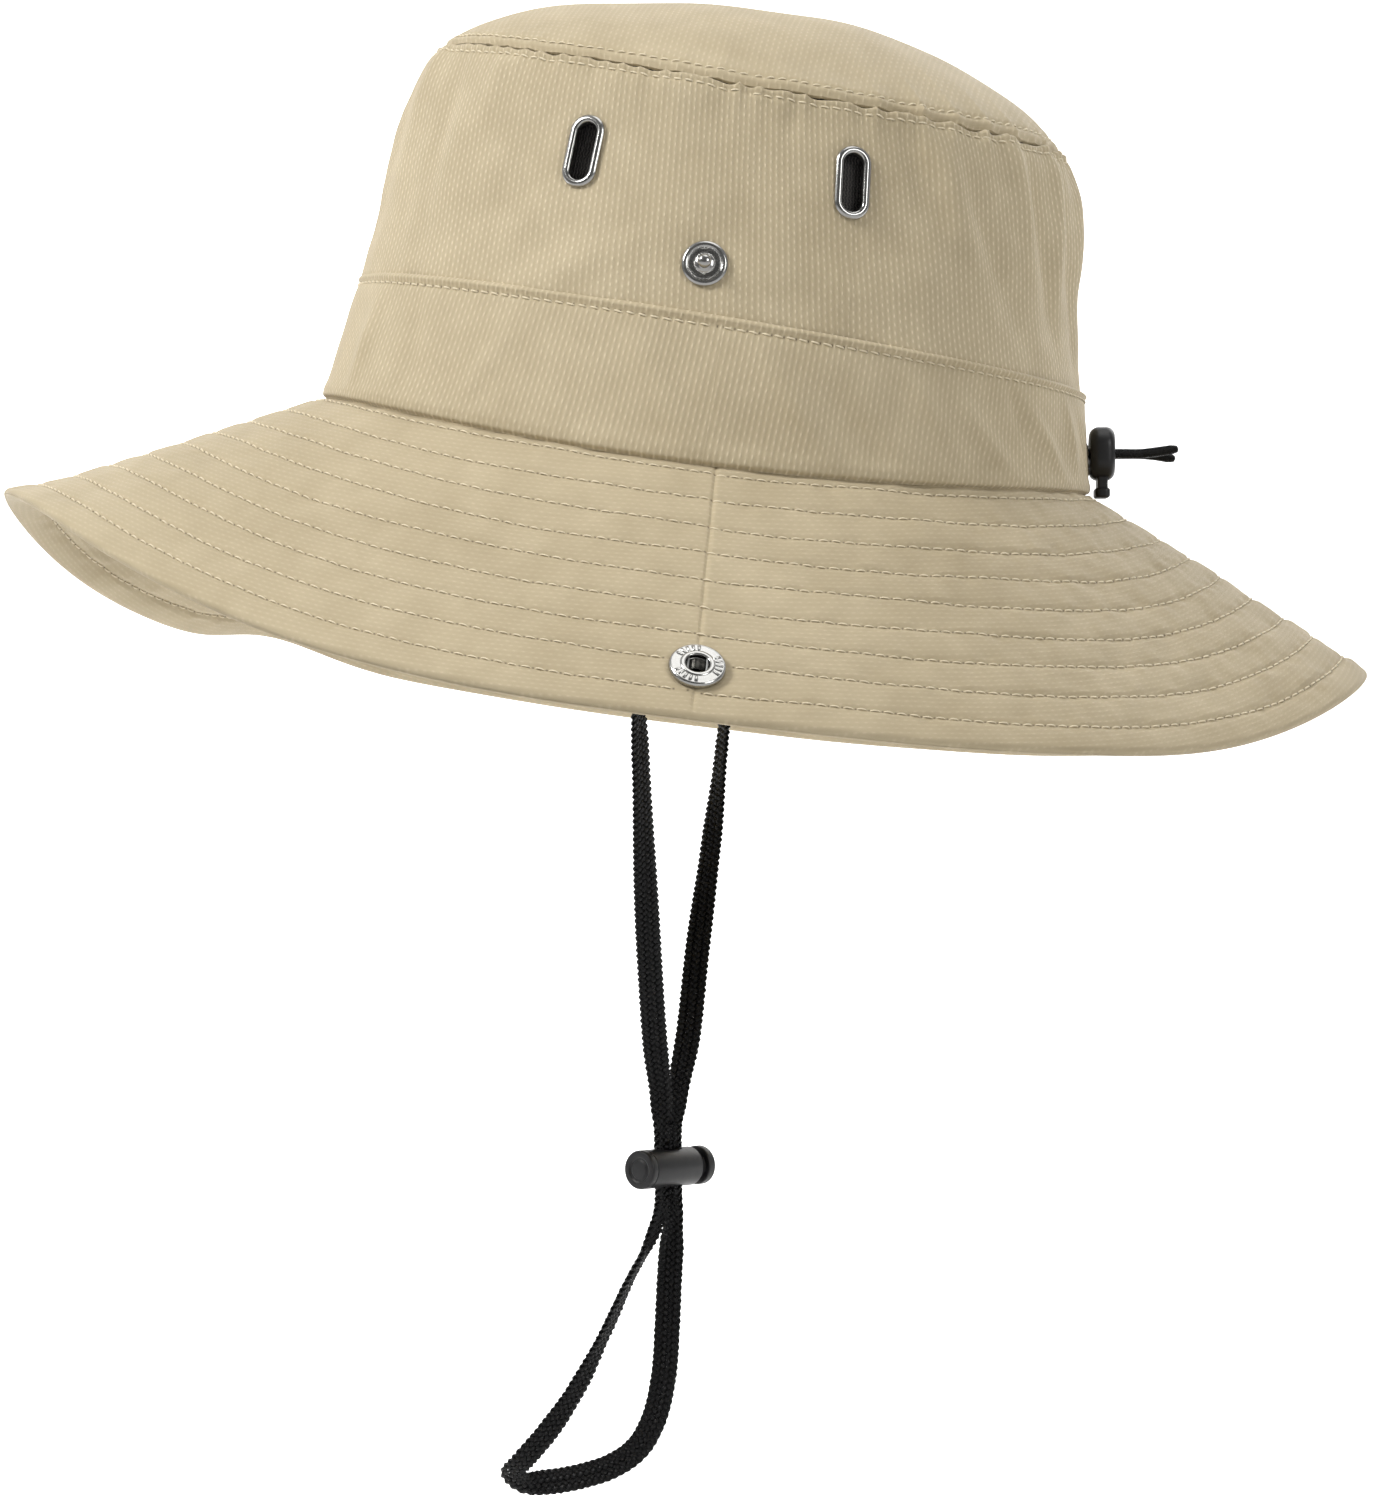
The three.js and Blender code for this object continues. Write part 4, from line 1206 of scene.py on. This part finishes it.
def rounded_block(name, outline, low, high, bevel, frame_of, material, slot, in_row=True):
    """A plate with the given closed outline in its own XY, from low to high in Z, with round edges."""
    p = np.array(outline, float)
    tangent = np.roll(p, -1, 0) - np.roll(p, 1, 0)
    normal = np.stack([tangent[:, 1], -tangent[:, 0]], 1)
    normal /= np.maximum(np.linalg.norm(normal, axis=1, keepdims=True), 1e-9)
    turn = np.linspace(0, math.pi / 2, 7)
    rings = [(bevel * (1 - math.sin(a)), low + bevel * (1 - math.cos(a))) for a in turn]
    rings += [(bevel * (1 - math.cos(a)), high - bevel * (1 - math.sin(a))) for a in turn]
    grid = np.stack([
        np.concatenate([p - normal * inset, np.full((len(p), 1), z)], 1) for inset, z in rings
    ])
    index, quads = tube_faces(*grid.shape[:2])
    points = np.concatenate([grid.reshape(-1, 3), [grid[0].mean(0), grid[-1].mean(0)]])
    fans = [fan(len(points) - 2, index[0]), fan(len(points) - 1, index[-1], flip=True)]
    faces = [quads, np.concatenate(fans)]
    uvs = [np.zeros((len(f), f.shape[1], 2)) for f in faces]
    points = placed(points, frame_of)
    return build(name, points * MM if in_row else to_row(points), faces, uvs, material, angle=32)


def rounded_rectangle(half_x, half_y, corner, steps=8):
    out = []
    for k, (sx, sy) in enumerate(((1, 1), (-1, 1), (-1, -1), (1, -1))):
        x, y = sx * (half_x - corner), sy * (half_y - corner)
        turn = np.linspace(0, math.pi / 2, steps + 1) + k * math.pi / 2
        out += [(x + corner * math.cos(a), y + corner * math.sin(a)) for a in turn]
    return out


def chin_lock_frame():
    yaw = math.radians(CHIN_LOCK["yaw"])
    axis = np.array([-math.cos(yaw), math.sin(yaw), 0])
    up = np.array([0, 0, 1.0])
    return np.stack([np.cross(up, axis), up, axis], 1), np.array(CHIN_LOCK["centre"], float)


def turned_slot(frame_of, low, high, half):
    """A cutter for the strands: a block through the lock along its own Y, rounded at both ends."""
    rotation, origin = frame_of
    upright = np.stack([rotation[:, 0], -rotation[:, 2], rotation[:, 1]], 1)
    outline = [(x, y - (low + high) / 2) for x, y in rounded_rectangle(half, (high - low) / 2, half * 0.8)]
    plastic_of = (MATERIALS["plastic"], "black_plastic")
    return rounded_block("cutter", outline, -9, 9, 0.1, (upright, origin), *plastic_of)


def spring(body, frame_of, radius, low, high, wire, turns=3):
    """A coil spring along the frame's Z that moves with the body."""
    t = np.linspace(0, 1, 28 * turns + 1)
    turn = 2 * math.pi * turns * t
    lead = np.clip((t - 0.12) / 0.76, 0, 1)
    height = low + wire / 2 + (high - low - wire) * lead
    line = placed(np.stack([radius * np.cos(turn), radius * np.sin(turn), height], 1), frame_of)
    middle = placed(np.stack([0 * t, 0 * t, height], 1), frame_of)
    steel = ("spring_steel", MATERIALS["steel"])
    made = strand_tubes(body + "_coil", [line], [line - middle], wire / 2, wire / 2, *steel, sides=10)
    attach(made, body, body + "_spring")
    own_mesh(made)
    return made


def make_chin_lock():
    f = chin_lock_frame()
    radius, bore, travel = CHIN_LOCK["radius"], CHIN_LOCK["bore"], CHIN_LOCK["travel"]
    foot, floor, mouth = -12.1, -10.6, 8.8
    slot_half = 1.9
    slot_end = STRAND_SPACING + slot_half
    plastic_of = (MATERIALS["plastic"], "black_plastic")
    cup = [
        (0.02, foot), (2.4, foot), (2.7, -11.8), (3.2, -11.8), (3.5, foot), (radius - 0.25, foot),
        (radius, -11.6), (radius, -10.2), (radius - 0.25, -10.0), (radius, -9.8), (radius, mouth - 0.3),
        (radius - 0.3, mouth), (bore, mouth), (bore, floor), (0.02, floor),
    ]
    barrel = turned("lock_barrel", cup, f, *plastic_of, sides=96, in_row=True)
    apply_boolean(barrel, [turned_slot(f, -slot_end, slot_end, slot_half)])
    attach(barrel, "chin_lock", "chin_lock_barrel")
    knob = mouth + travel + 0.3
    stem = bore - 0.3
    profile = [
        (0.02, -6.2), (stem, -6.2), (stem, knob), (radius - 0.2, knob), (radius, knob + 0.3),
        (radius, knob + 2.3), (radius - 0.7, knob + 3.1), (3.4, knob + 3.35), (2.6, knob + 3.1),
        (0.02, knob + 3.1),
    ]
    plunger = turned("lock_plunger", profile, f, *plastic_of, sides=96, in_row=True)
    apply_boolean(plunger, [turned_slot(f, -slot_end, slot_end + travel, slot_half)])
    attach(plunger, "chin_lock_plunger", "chin_lock_plunger")
    coil = spring("chin_lock", f, 2.6, -10.4, -6.4, 0.5)
    return [barrel, plunger, coil]


def make_rear_lock():
    width, height, depth = REAR_LOCK["width"], REAR_LOCK["height"], REAR_LOCK["depth"]
    travel, centre = REAR_LOCK["travel"], np.array(REAR_LOCK["centre"], float)
    facing_back = np.array([[1.0, 0, 0], [0, 0, -1], [0, 1, 0]]), centre
    upright = np.eye(3), centre

    def block(name, outline, low, high, bevel, frame_of):
        return rounded_block(name, outline, low, high, bevel, frame_of, MATERIALS["plastic"], "black_plastic")

    outline = rounded_rectangle(width / 2, height / 2, 5.6, 14)
    body = block("cord_lock_body", outline, -depth / 2, depth / 2, 2.2, facing_back)
    pocket = block("cutter", rounded_rectangle(5, 1.65, 0.6), -10, 5.5, 0.1, upright)
    bore = block("cutter", rounded_rectangle(3.3, 1.6, 1.55), -6, 6, 0.1, facing_back)
    apply_boolean(body, [pocket, bore])
    attach(body, "rear_lock", "rear_lock_body")
    foot = -height / 2 - travel - 0.2
    blade = block("cord_lock_button", rounded_rectangle(4.7, 1.35, 0.5), foot - 1.2, 2.5, 0.2, upright)
    window = [(x, y - 0.9) for x, y in rounded_rectangle(3.2, 2.4, 1.0)]
    apply_boolean(blade, [block("cutter", window, -6, 6, 0.1, facing_back)])
    pad = block("cord_lock_pad", rounded_rectangle(5.2, 2, 1.4, 10), foot - 2.7, foot, 0.7, upright)
    groove = rounded_rectangle(0.28, 6, 0.25, 4)
    grooves = [
        block("cutter", groove, foot - 4, foot - 2.3, 0.05, (np.eye(3), centre + [1.2 * k, 0, 0]))
        for k in range(-3, 4)
    ]
    apply_boolean(pad, grooves)
    pad.parent = blade
    attach(blade, "rear_lock_button", "rear_lock_button")
    coil = spring("rear_lock", upright, 1.1, 2.7, 5.3, 0.4)
    return [body, blade, pad, coil]


# ------------------------------------------------------------------ cords

CHIN_ROUTE = [
    (74.4, -20.3, -12), (73.6, -20.3, -22), (69.5, -19.6, -38), (58, -18.2, -62), (47, -17.2, -84.5),
    (36, -16.4, -108), (22, -15.2, -135), (9, -13.6, -161), (3.2, -12.2, -174), (2, -11.87, -182),
    (2, -11.87, -194), (2, -11.87, -205), (2.7, -14.8, -213.5), (3.4, -20.6, -224.5), (4, -26.8, -238),
    (4.5, -34.9, -253.7), (5, -42.6, -265), (4, -49.2, -272.8), (0.4, -52, -276.6), (-3, -49, -279.6),
    (-4, -42, -279.6), (-4, -34, -278.2), (-4, -25, -275.2), (-4, -18.4, -270.4), (-3.8, -14, -262.5),
    (-3.4, -11.4, -251), (-3, -10.4, -237), (-2.6, -9.8, -224), (-2.2, -9.1, -213.5), (-2, -8.53, -205),
    (-2, -8.53, -194), (-2, -8.53, -182), (-3.6, -7.4, -173), (-9, -4.9, -160), (-21, -2.2, -136),
    (-35, 1.4, -109), (-47, 4.2, -84.5), (-59, 6.4, -62), (-71, 8.1, -38), (-74.8, 8.4, -25),
    (-75.4, 8.4, -15.5),
]
# (point of the route, width in mm, turn in degrees: 0 shows the flat side to the hat's left, 90 the edge)
CHIN_FLAT = [
    (0, 6.4, 82), (3, 6.6, 70), (4, 6.8, 50), (6, 7.0, 12), (7, 7.0, 8), (8.3, 6.4, 20), (9.4, 4.3, 40),
    (10.7, 4.3, 40), (11.5, 5.4, 55), (12.5, 6.6, 78), (14, 6.6, 66), (15, 6.8, 45), (16, 6.9, 30),
    (18, 6.9, 0), (20, 7.0, 0), (26, 7.0, 0), (27.6, 6.9, 6), (28.6, 5.8, 30), (29.4, 4.3, 40),
    (30.7, 4.3, 40), (31.6, 6.2, 20), (33, 7.0, 5), (34, 7.0, 12), (35, 6.8, 36), (36, 6.6, 62),
    (37, 6.4, 76), (40, 6.4, 84),
]
TAIL_ROUTE = [
    (7, 99.45, -2.1), (5.3, 99.5, -2.1), (2.75, 100.6, -2.1), (1.7, 103.1, -2.1),
    (1.7, 107, -2.1), (1.7, 112, -2.1), (1.7, 117, -2.1),
]
LEFT_TAIL = TAIL_ROUTE + [(1.8, 121.5, -1.6), (2, 127, -0.8)]
RIGHT_TAIL = [(-x, y, z) for x, y, z in TAIL_ROUTE + [(1.7, 121, -2.4), (1.9, 126.5, -3.3)]]
CHIN_WIDTH = 7.0
DRAWCORD = 2.6


def smooth_path(route, step):
    """Points about step mm apart on a smooth curve through the route, and its length at each route point."""
    p = np.array(route, float)
    p = np.concatenate([[2 * p[0] - p[1]], p, [2 * p[-1] - p[-2]]])
    fine = []
    for a, b, c, d in zip(p[:-3], p[1:-2], p[2:-1], p[3:]):
        knots = np.cumsum([0] + [np.linalg.norm(y - x) ** 0.5 for x, y in ((a, b), (b, c), (c, d))])
        t = np.linspace(knots[1], knots[2], 41)[:-1, None]

        def blend_of(x, y, i, j):
            return ((knots[j] - t) * x + (t - knots[i]) * y) / (knots[j] - knots[i])

        ab, bc, cd = blend_of(a, b, 0, 1), blend_of(b, c, 1, 2), blend_of(c, d, 2, 3)
        abc, bcd = blend_of(ab, bc, 0, 2), blend_of(bc, cd, 1, 3)
        fine.append(blend_of(abc, bcd, 1, 2))
    fine = np.concatenate(fine + [p[-2:-1]])
    length = path_length(fine)
    at_points = length[::40]
    even = np.linspace(0, length[-1], max(2, round(length[-1] / step) + 1))
    line = np.stack([np.interp(even, length, fine[:, k]) for k in range(3)], 1)
    return line, even, at_points


def tangents(line):
    return unit(np.gradient(line, axis=0))


def carried_frames(line):
    """Tangents and two directions across the line that turn no more than they must."""
    tangent = tangents(line)
    side = np.cross(tangent[0], [0, 1.0, 0])
    sides = []
    for t in tangent:
        side = unit(side - t * (side @ t))
        sides.append(side)
    sides = np.array(sides)
    return tangent, sides, np.cross(tangent, sides)


def ribbon(route, stations, step):
    """The flat cord's middle line, the direction of its width and of its thickness, and its width."""
    line, length, at_points = smooth_path(route, step)
    tangent, first, second = carried_frames(line)
    places, widths, turns = [], [], []
    last = None
    for point, width, look in stations:
        i = np.abs(length - np.interp(point, np.arange(len(at_points)), at_points)).argmin()
        along = tangent[i]
        face = np.array([1.0, 0, 0]) - along * along[0]
        if np.linalg.norm(face) < 0.3:
            face = np.array([0, 0.5, 1.0]) - along * (along @ [0, 0.5, 1.0])
        face = unit(face)
        flat = np.cross(along, face)
        look = math.radians(look)
        wanted = math.cos(look) * flat + math.sin(look) * face
        turn = math.atan2(wanted @ second[i], wanted @ first[i])
        if last is not None:
            turn += math.pi * round((last - turn) / math.pi)
        last = turn
        places.append(length[i])
        widths.append(width)
        turns.append(turn)
    turn = smooth_between(length, places, turns)
    width = smooth_between(length, places, widths)
    across = np.cos(turn)[:, None] * first + np.sin(turn)[:, None] * second
    return line, length, across, np.cross(tangent, across), width


def smooth_between(x, places, values):
    """Values eased from one place to the next."""
    i = np.clip(np.searchsorted(places, x, side="right") - 1, 0, len(places) - 2)
    places, values = np.array(places), np.array(values)
    t = np.clip((x - places[i]) / (places[i + 1] - places[i]), 0, 1)
    t = smoothstep(t)
    return values[i] * (1 - t) + values[i + 1] * t


def strand_tubes(name, lines, ups, half_width, half_height, body_slot, material, sides=6):
    """One mesh of flat yarns, each round a line of points; ups are the directions of their thickness."""
    points, faces, uvs = [], [], []
    count = 0
    for line, up in zip(lines, ups):
        tangent = tangents(line)
        flat = unit(np.cross(tangent, up))
        rise = np.cross(flat, tangent)
        a = ((np.arange(sides) + 0.5) * 2 * math.pi / sides)[None, :, None]
        ring = half_width * np.cos(a) * flat[:, None] + half_height * np.sin(a) * rise[:, None]
        index, quads = tube_faces(len(line), sides, count)
        caps = hexagon_caps(index[0], index[-1])
        u, v = np.meshgrid(np.arange(sides + 1) * 0.35, path_length(line))
        grid = np.stack([u, v], -1)
        uv = np.stack([grid[:-1, :-1], grid[:-1, 1:], grid[1:, 1:], grid[1:, :-1]], 2).reshape(-1, 4, 2)
        points.append((line[:, None] + ring).reshape(-1, 3))
        faces += [quads, caps]
        uvs += [uv * MM, np.zeros((4, 4, 2))]
        count += index.size
    return build(name, np.concatenate(points) * MM, faces, uvs, material, angle=70)


def make_chin_cord(pieces_on_it):
    """A flat plait of 11 yarns, over two and under two, as real crossing strands."""
    yarns, zigzag, thick = 11, 19.8, 0.6
    line, length, across, face, width = ribbon(CHIN_ROUTE, CHIN_FLAT, 0.55)
    lines, ups = [], []
    for k in range(yarns):
        phase = (length / zigzag + k / yarns) % 1
        sweep = np.where(phase < 0.5, 2 * phase, 2 - 2 * phase)
        crossing = sweep * yarns
        over = np.sin(math.pi / 2 * (crossing + 0.5)) * np.where(phase < 0.5, 1, -1)
        edge = np.clip(np.minimum(crossing, yarns - crossing) / 0.8, 0, 1)
        rounded = 0.5 - 0.5 * np.cos(math.pi * sweep)
        position = (0.75 * (sweep - 0.5) + 0.25 * (rounded - 0.5)) * (width - 0.8)
        # the gathered cord curls into a shallow gutter where it is narrower
        curl = (CHIN_WIDTH - width) * 0.32 * (1 - (2 * sweep - 1) ** 2)
        offset = thick * over * edge * (1 + 0.25 * (CHIN_WIDTH - width)) + curl - curl.mean()
        lines.append(line + across * position[:, None] + face * offset[:, None])
        ups.append(face)
    cord = strand_tubes("chin_cord_plait", lines, ups, 0.6, 0.33, "black_braid", MATERIALS["braid"])
    attach(cord, "chin_cord", "chin_cord")


def round_cord(name, route, diameter, taper):
    """A round braided cord: crossing helical ridges on a tube, melted to a blunt point at its far end."""
    line, length, _ = smooth_path(route, 0.14)
    tangent, first, second = carried_frames(line)
    sides, ridges, pitch = 40, 8, 9.0
    a = np.arange(sides) * 2 * math.pi / sides
    s = length[:, None]
    lead = 2 * math.pi * s / pitch
    ridge = np.maximum(np.abs(np.sin(ridges * (a[None] + lead))), np.abs(np.sin(ridges * (a[None] - lead))))
    to_end = length[-1] - s
    blunt = np.where(to_end < taper, 0.55 + 0.45 * np.sqrt(np.clip(to_end / taper, 0, 1)), 1)
    radius = diameter / 2 * (0.9 + 0.12 * ridge) * blunt
    spokes = np.cos(a)[None, :, None] * first[:, None] + np.sin(a)[None, :, None] * second[:, None]
    ring = line[:, None] + radius[..., None] * spokes
    index, quads = tube_faces(len(line), sides)
    points = np.concatenate([ring.reshape(-1, 3), [line[0], line[-1] + tangent[-1] * 0.3]])
    ends = [fan(len(points) - 2, index[0]), fan(len(points) - 1, index[-1], flip=True)]
    u, v = np.meshgrid(a * diameter / 2, length)
    uv = np.stack([u, v], -1).reshape(-1, 2) * MM
    faces, uvs = [quads, np.concatenate(ends)], [uv[quads], np.zeros((2 * sides, 3, 2))]
    made = build(name, points * MM, faces, uvs, MATERIALS["braid"], angle=70)
    return made, line, length[-1]


def make_drawcord(pieces_on_it):
    for word, route, pieces in (("left", LEFT_TAIL, pieces_on_it), ("right", RIGHT_TAIL, [])):
        made, line, length = round_cord(f"drawcord_tail_{word}", route, DRAWCORD, 2.0)
        attach(made, "crown", f"drawcord_{word}_end")
    paint("drawcord_channel_run", MATERIALS["braid"])


def tab_frame(side, y):
    """Rotation and origin of a tab inside the crown: its Z points outwards and its Y up."""
    theta = math.asin(y / BASE["y"])
    theta = np.array(theta if side > 0 else math.pi - theta)
    normal, up = outward(theta), np.array([0, 0, 1.0])
    middle = seam(BASE, theta) - normal * 8.6
    middle[2] = -6
    return np.stack([np.cross(up, normal), up, normal], 1), middle


def tab_stitching(name, frame_of, sign):
    """A box of stitches with one diagonal, on one face of a tab."""
    corners = np.array([(-4.4, -1.2), (4.4, -1.2), (4.4, 6.2), (-4.4, 6.2), (-4.4, -1.2), (4.4, 6.2)])
    starts, ends = [], []
    for a, b in zip(corners[:-1], corners[1:]):
        count = max(2, round(np.linalg.norm(b - a) / 2.2))
        t = np.arange(count)[:, None] / count
        starts.append(a + (b - a) * (t + 0.12 / count))
        ends.append(a + (b - a) * (t + 0.85 / count))
    height = sign * 1.3
    flat = [np.pad(np.concatenate(part), ((0, 0), (0, 1)), constant_values=height) for part in (starts, ends)]
    points = [placed(p, frame_of) for p in flat]
    normals = np.broadcast_to(frame_of[0][:, 2] * sign, points[0].shape)
    return stitches(name, *points, normals, slot="black_braid", material="braid", radius=0.2)


def make_cord_tabs():
    """Folded tapes that hold the chin cord's ends inside the crown."""
    right_edge = [(1.4, -7.2), (5.2, -3.6), (5.9, -2.4), (5.9, 7.6), (5.5, 8)]
    outline = densified(right_edge + [(-x, y) for x, y in right_edge[::-1]], 0.8)
    for word, y in (("left", -20), ("right", 11)):
        f = tab_frame(SIDES[word], y)
        tab = rounded_block(
            "cord_tab_" + word, outline, -1.25, 1.25, 0.7, f, MATERIALS["braid"], "black_braid", in_row=False,
        )
        attach(tab, "crown", word + "_cord_tab")
        for face, sign in (("outer", 1), ("inner", -1)):
            attach(tab_stitching(f"cord_tab_stitching_{word}_{face}", f, sign), "crown")


def densified(outline, step):
    out = []
    p = np.array(outline, float)
    for a, b in zip(p, np.roll(p, -1, 0)):
        count = max(1, round(np.linalg.norm(b - a) / step))
        out += [tuple(a + (b - a) * k / count) for k in range(count)]
    return out


# ------------------------------------------------------------------ camera, light and floor

CAMERA_PLACE = (1.5, -0.0032, -0.0812)  # level, and square to the hat's left side
LENS = 134.0
SENSOR = 36


def make_camera():
    data = bpy.data.cameras.new("camera")
    data.sensor_width = SENSOR
    data.lens = LENS
    camera = bpy.data.objects.new("camera", data)
    camera.location = CAMERA_PLACE
    camera.rotation_euler = (math.pi / 2, 0, math.pi / 2)
    link(camera)
    bpy.context.scene.camera = camera


def area_light(name, place, size, power):
    data = bpy.data.lights.new(name, "AREA")
    data.shape = "RECTANGLE"
    data.size, data.size_y = size
    data.energy = power
    light = bpy.data.objects.new(name, data)
    light.location = place
    light.rotation_euler = (-Vector(place)).to_track_quat("-Z", "Y").to_euler()
    link(light)


def make_studio():
    bpy.context.scene.view_settings.view_transform = "Standard"
    area_light("key_softbox", (0.75, -1.4, 1.3), (0.6, 0.6), 38)
    area_light("fill_softbox", (1.6, 1.3, 0.8), (0.7, 0.9), 15)
    area_light("top_softbox", (0.2, 0.3, 1.7), (1.1, 1.1), 8)
    area_light("back_softbox", (-1.4, 0.9, 1.0), (0.8, 0.8), 6)
    make_world()
    make_sweep()


def make_world():
    """White surroundings, brighter behind the hat than beside the camera."""
    world = bpy.data.worlds.new("studio")
    bpy.context.scene.world = world
    world.use_nodes = True
    tree = world.node_tree
    direction = tree.nodes.new("ShaderNodeTexCoord").outputs["Generated"]
    split = tree.nodes.new("ShaderNodeSeparateXYZ")
    tree.links.new(direction, split.inputs[0])
    ramp = tree.nodes.new("ShaderNodeMapRange")
    ramp.interpolation_type = "SMOOTHSTEP"
    tree.links.new(split.outputs[0], ramp.inputs["Value"])
    for name, value in (("From Min", -0.8), ("From Max", 0.5), ("To Min", 1.05), ("To Max", 0.16)):
        ramp.inputs[name].default_value = value
    tree.links.new(ramp.outputs[0], tree.nodes["Background"].inputs["Strength"])
    tree.nodes["Background"].inputs["Color"].default_value = (1, 1, 1, 1)


def make_sweep():
    """A white floor that curves up into a wall and glows more the farther it lies behind the hat."""
    ground, corner, wall_x, top, near_x, half_width = -0.30, 1.5, -4.6, 4.0, 6.0, 6
    turn = np.linspace(0, math.pi / 2, 25)
    outline = [(near_x, ground)]
    across, up = wall_x + corner, ground + corner
    outline += [(across - corner * math.sin(a), up - corner * math.cos(a)) for a in turn]
    outline.append((wall_x, top))
    points = [(x, y, z) for x, z in outline for y in (-half_width, half_width)]
    faces = [(2 * i, 2 * i + 1, 2 * i + 3, 2 * i + 2) for i in range(len(outline) - 1)]
    mesh = bpy.data.meshes.new("sweep")
    mesh.from_pydata(points, [], faces)
    mesh.polygons.foreach_set("use_smooth", [True] * len(faces))
    floor = bpy.data.objects.new("sweep", mesh)
    link(floor)
    s = Shader("white_sweep", Roughness=0.9)
    place = s.node("SeparateXYZ", {"Vector": s.node("TexCoord", output=3)})
    far = s.node("MapRange", {"Value": place, "From Min": 0.2, "From Max": -0.13})
    s.colour(s.mix(far, (0.6, 0.6, 0.6, 1), (0.93, 0.93, 0.93, 1)))
    s.feed(s.surface.inputs["Emission Color"], (1, 1, 1, 1))
    beyond = s.node("MapRange", {"Value": place, "From Min": -0.5, "From Max": -2.0, "To Max": 0.6})
    s.feed(s.surface.inputs["Emission Strength"], s.scaled(far, 0.5, beyond))
    mesh.materials.append(s.material)


# ------------------------------------------------------------------ making everything

make_camera()
make_chin_cord(make_chin_lock())
make_drawcord(make_rear_lock())
make_cord_tabs()
make_lining()
make_top_panel()
make_side_panel()
make_band()
make_sweatband()
make_crown_stitching()
make_brim()
make_fittings()
make_studio()
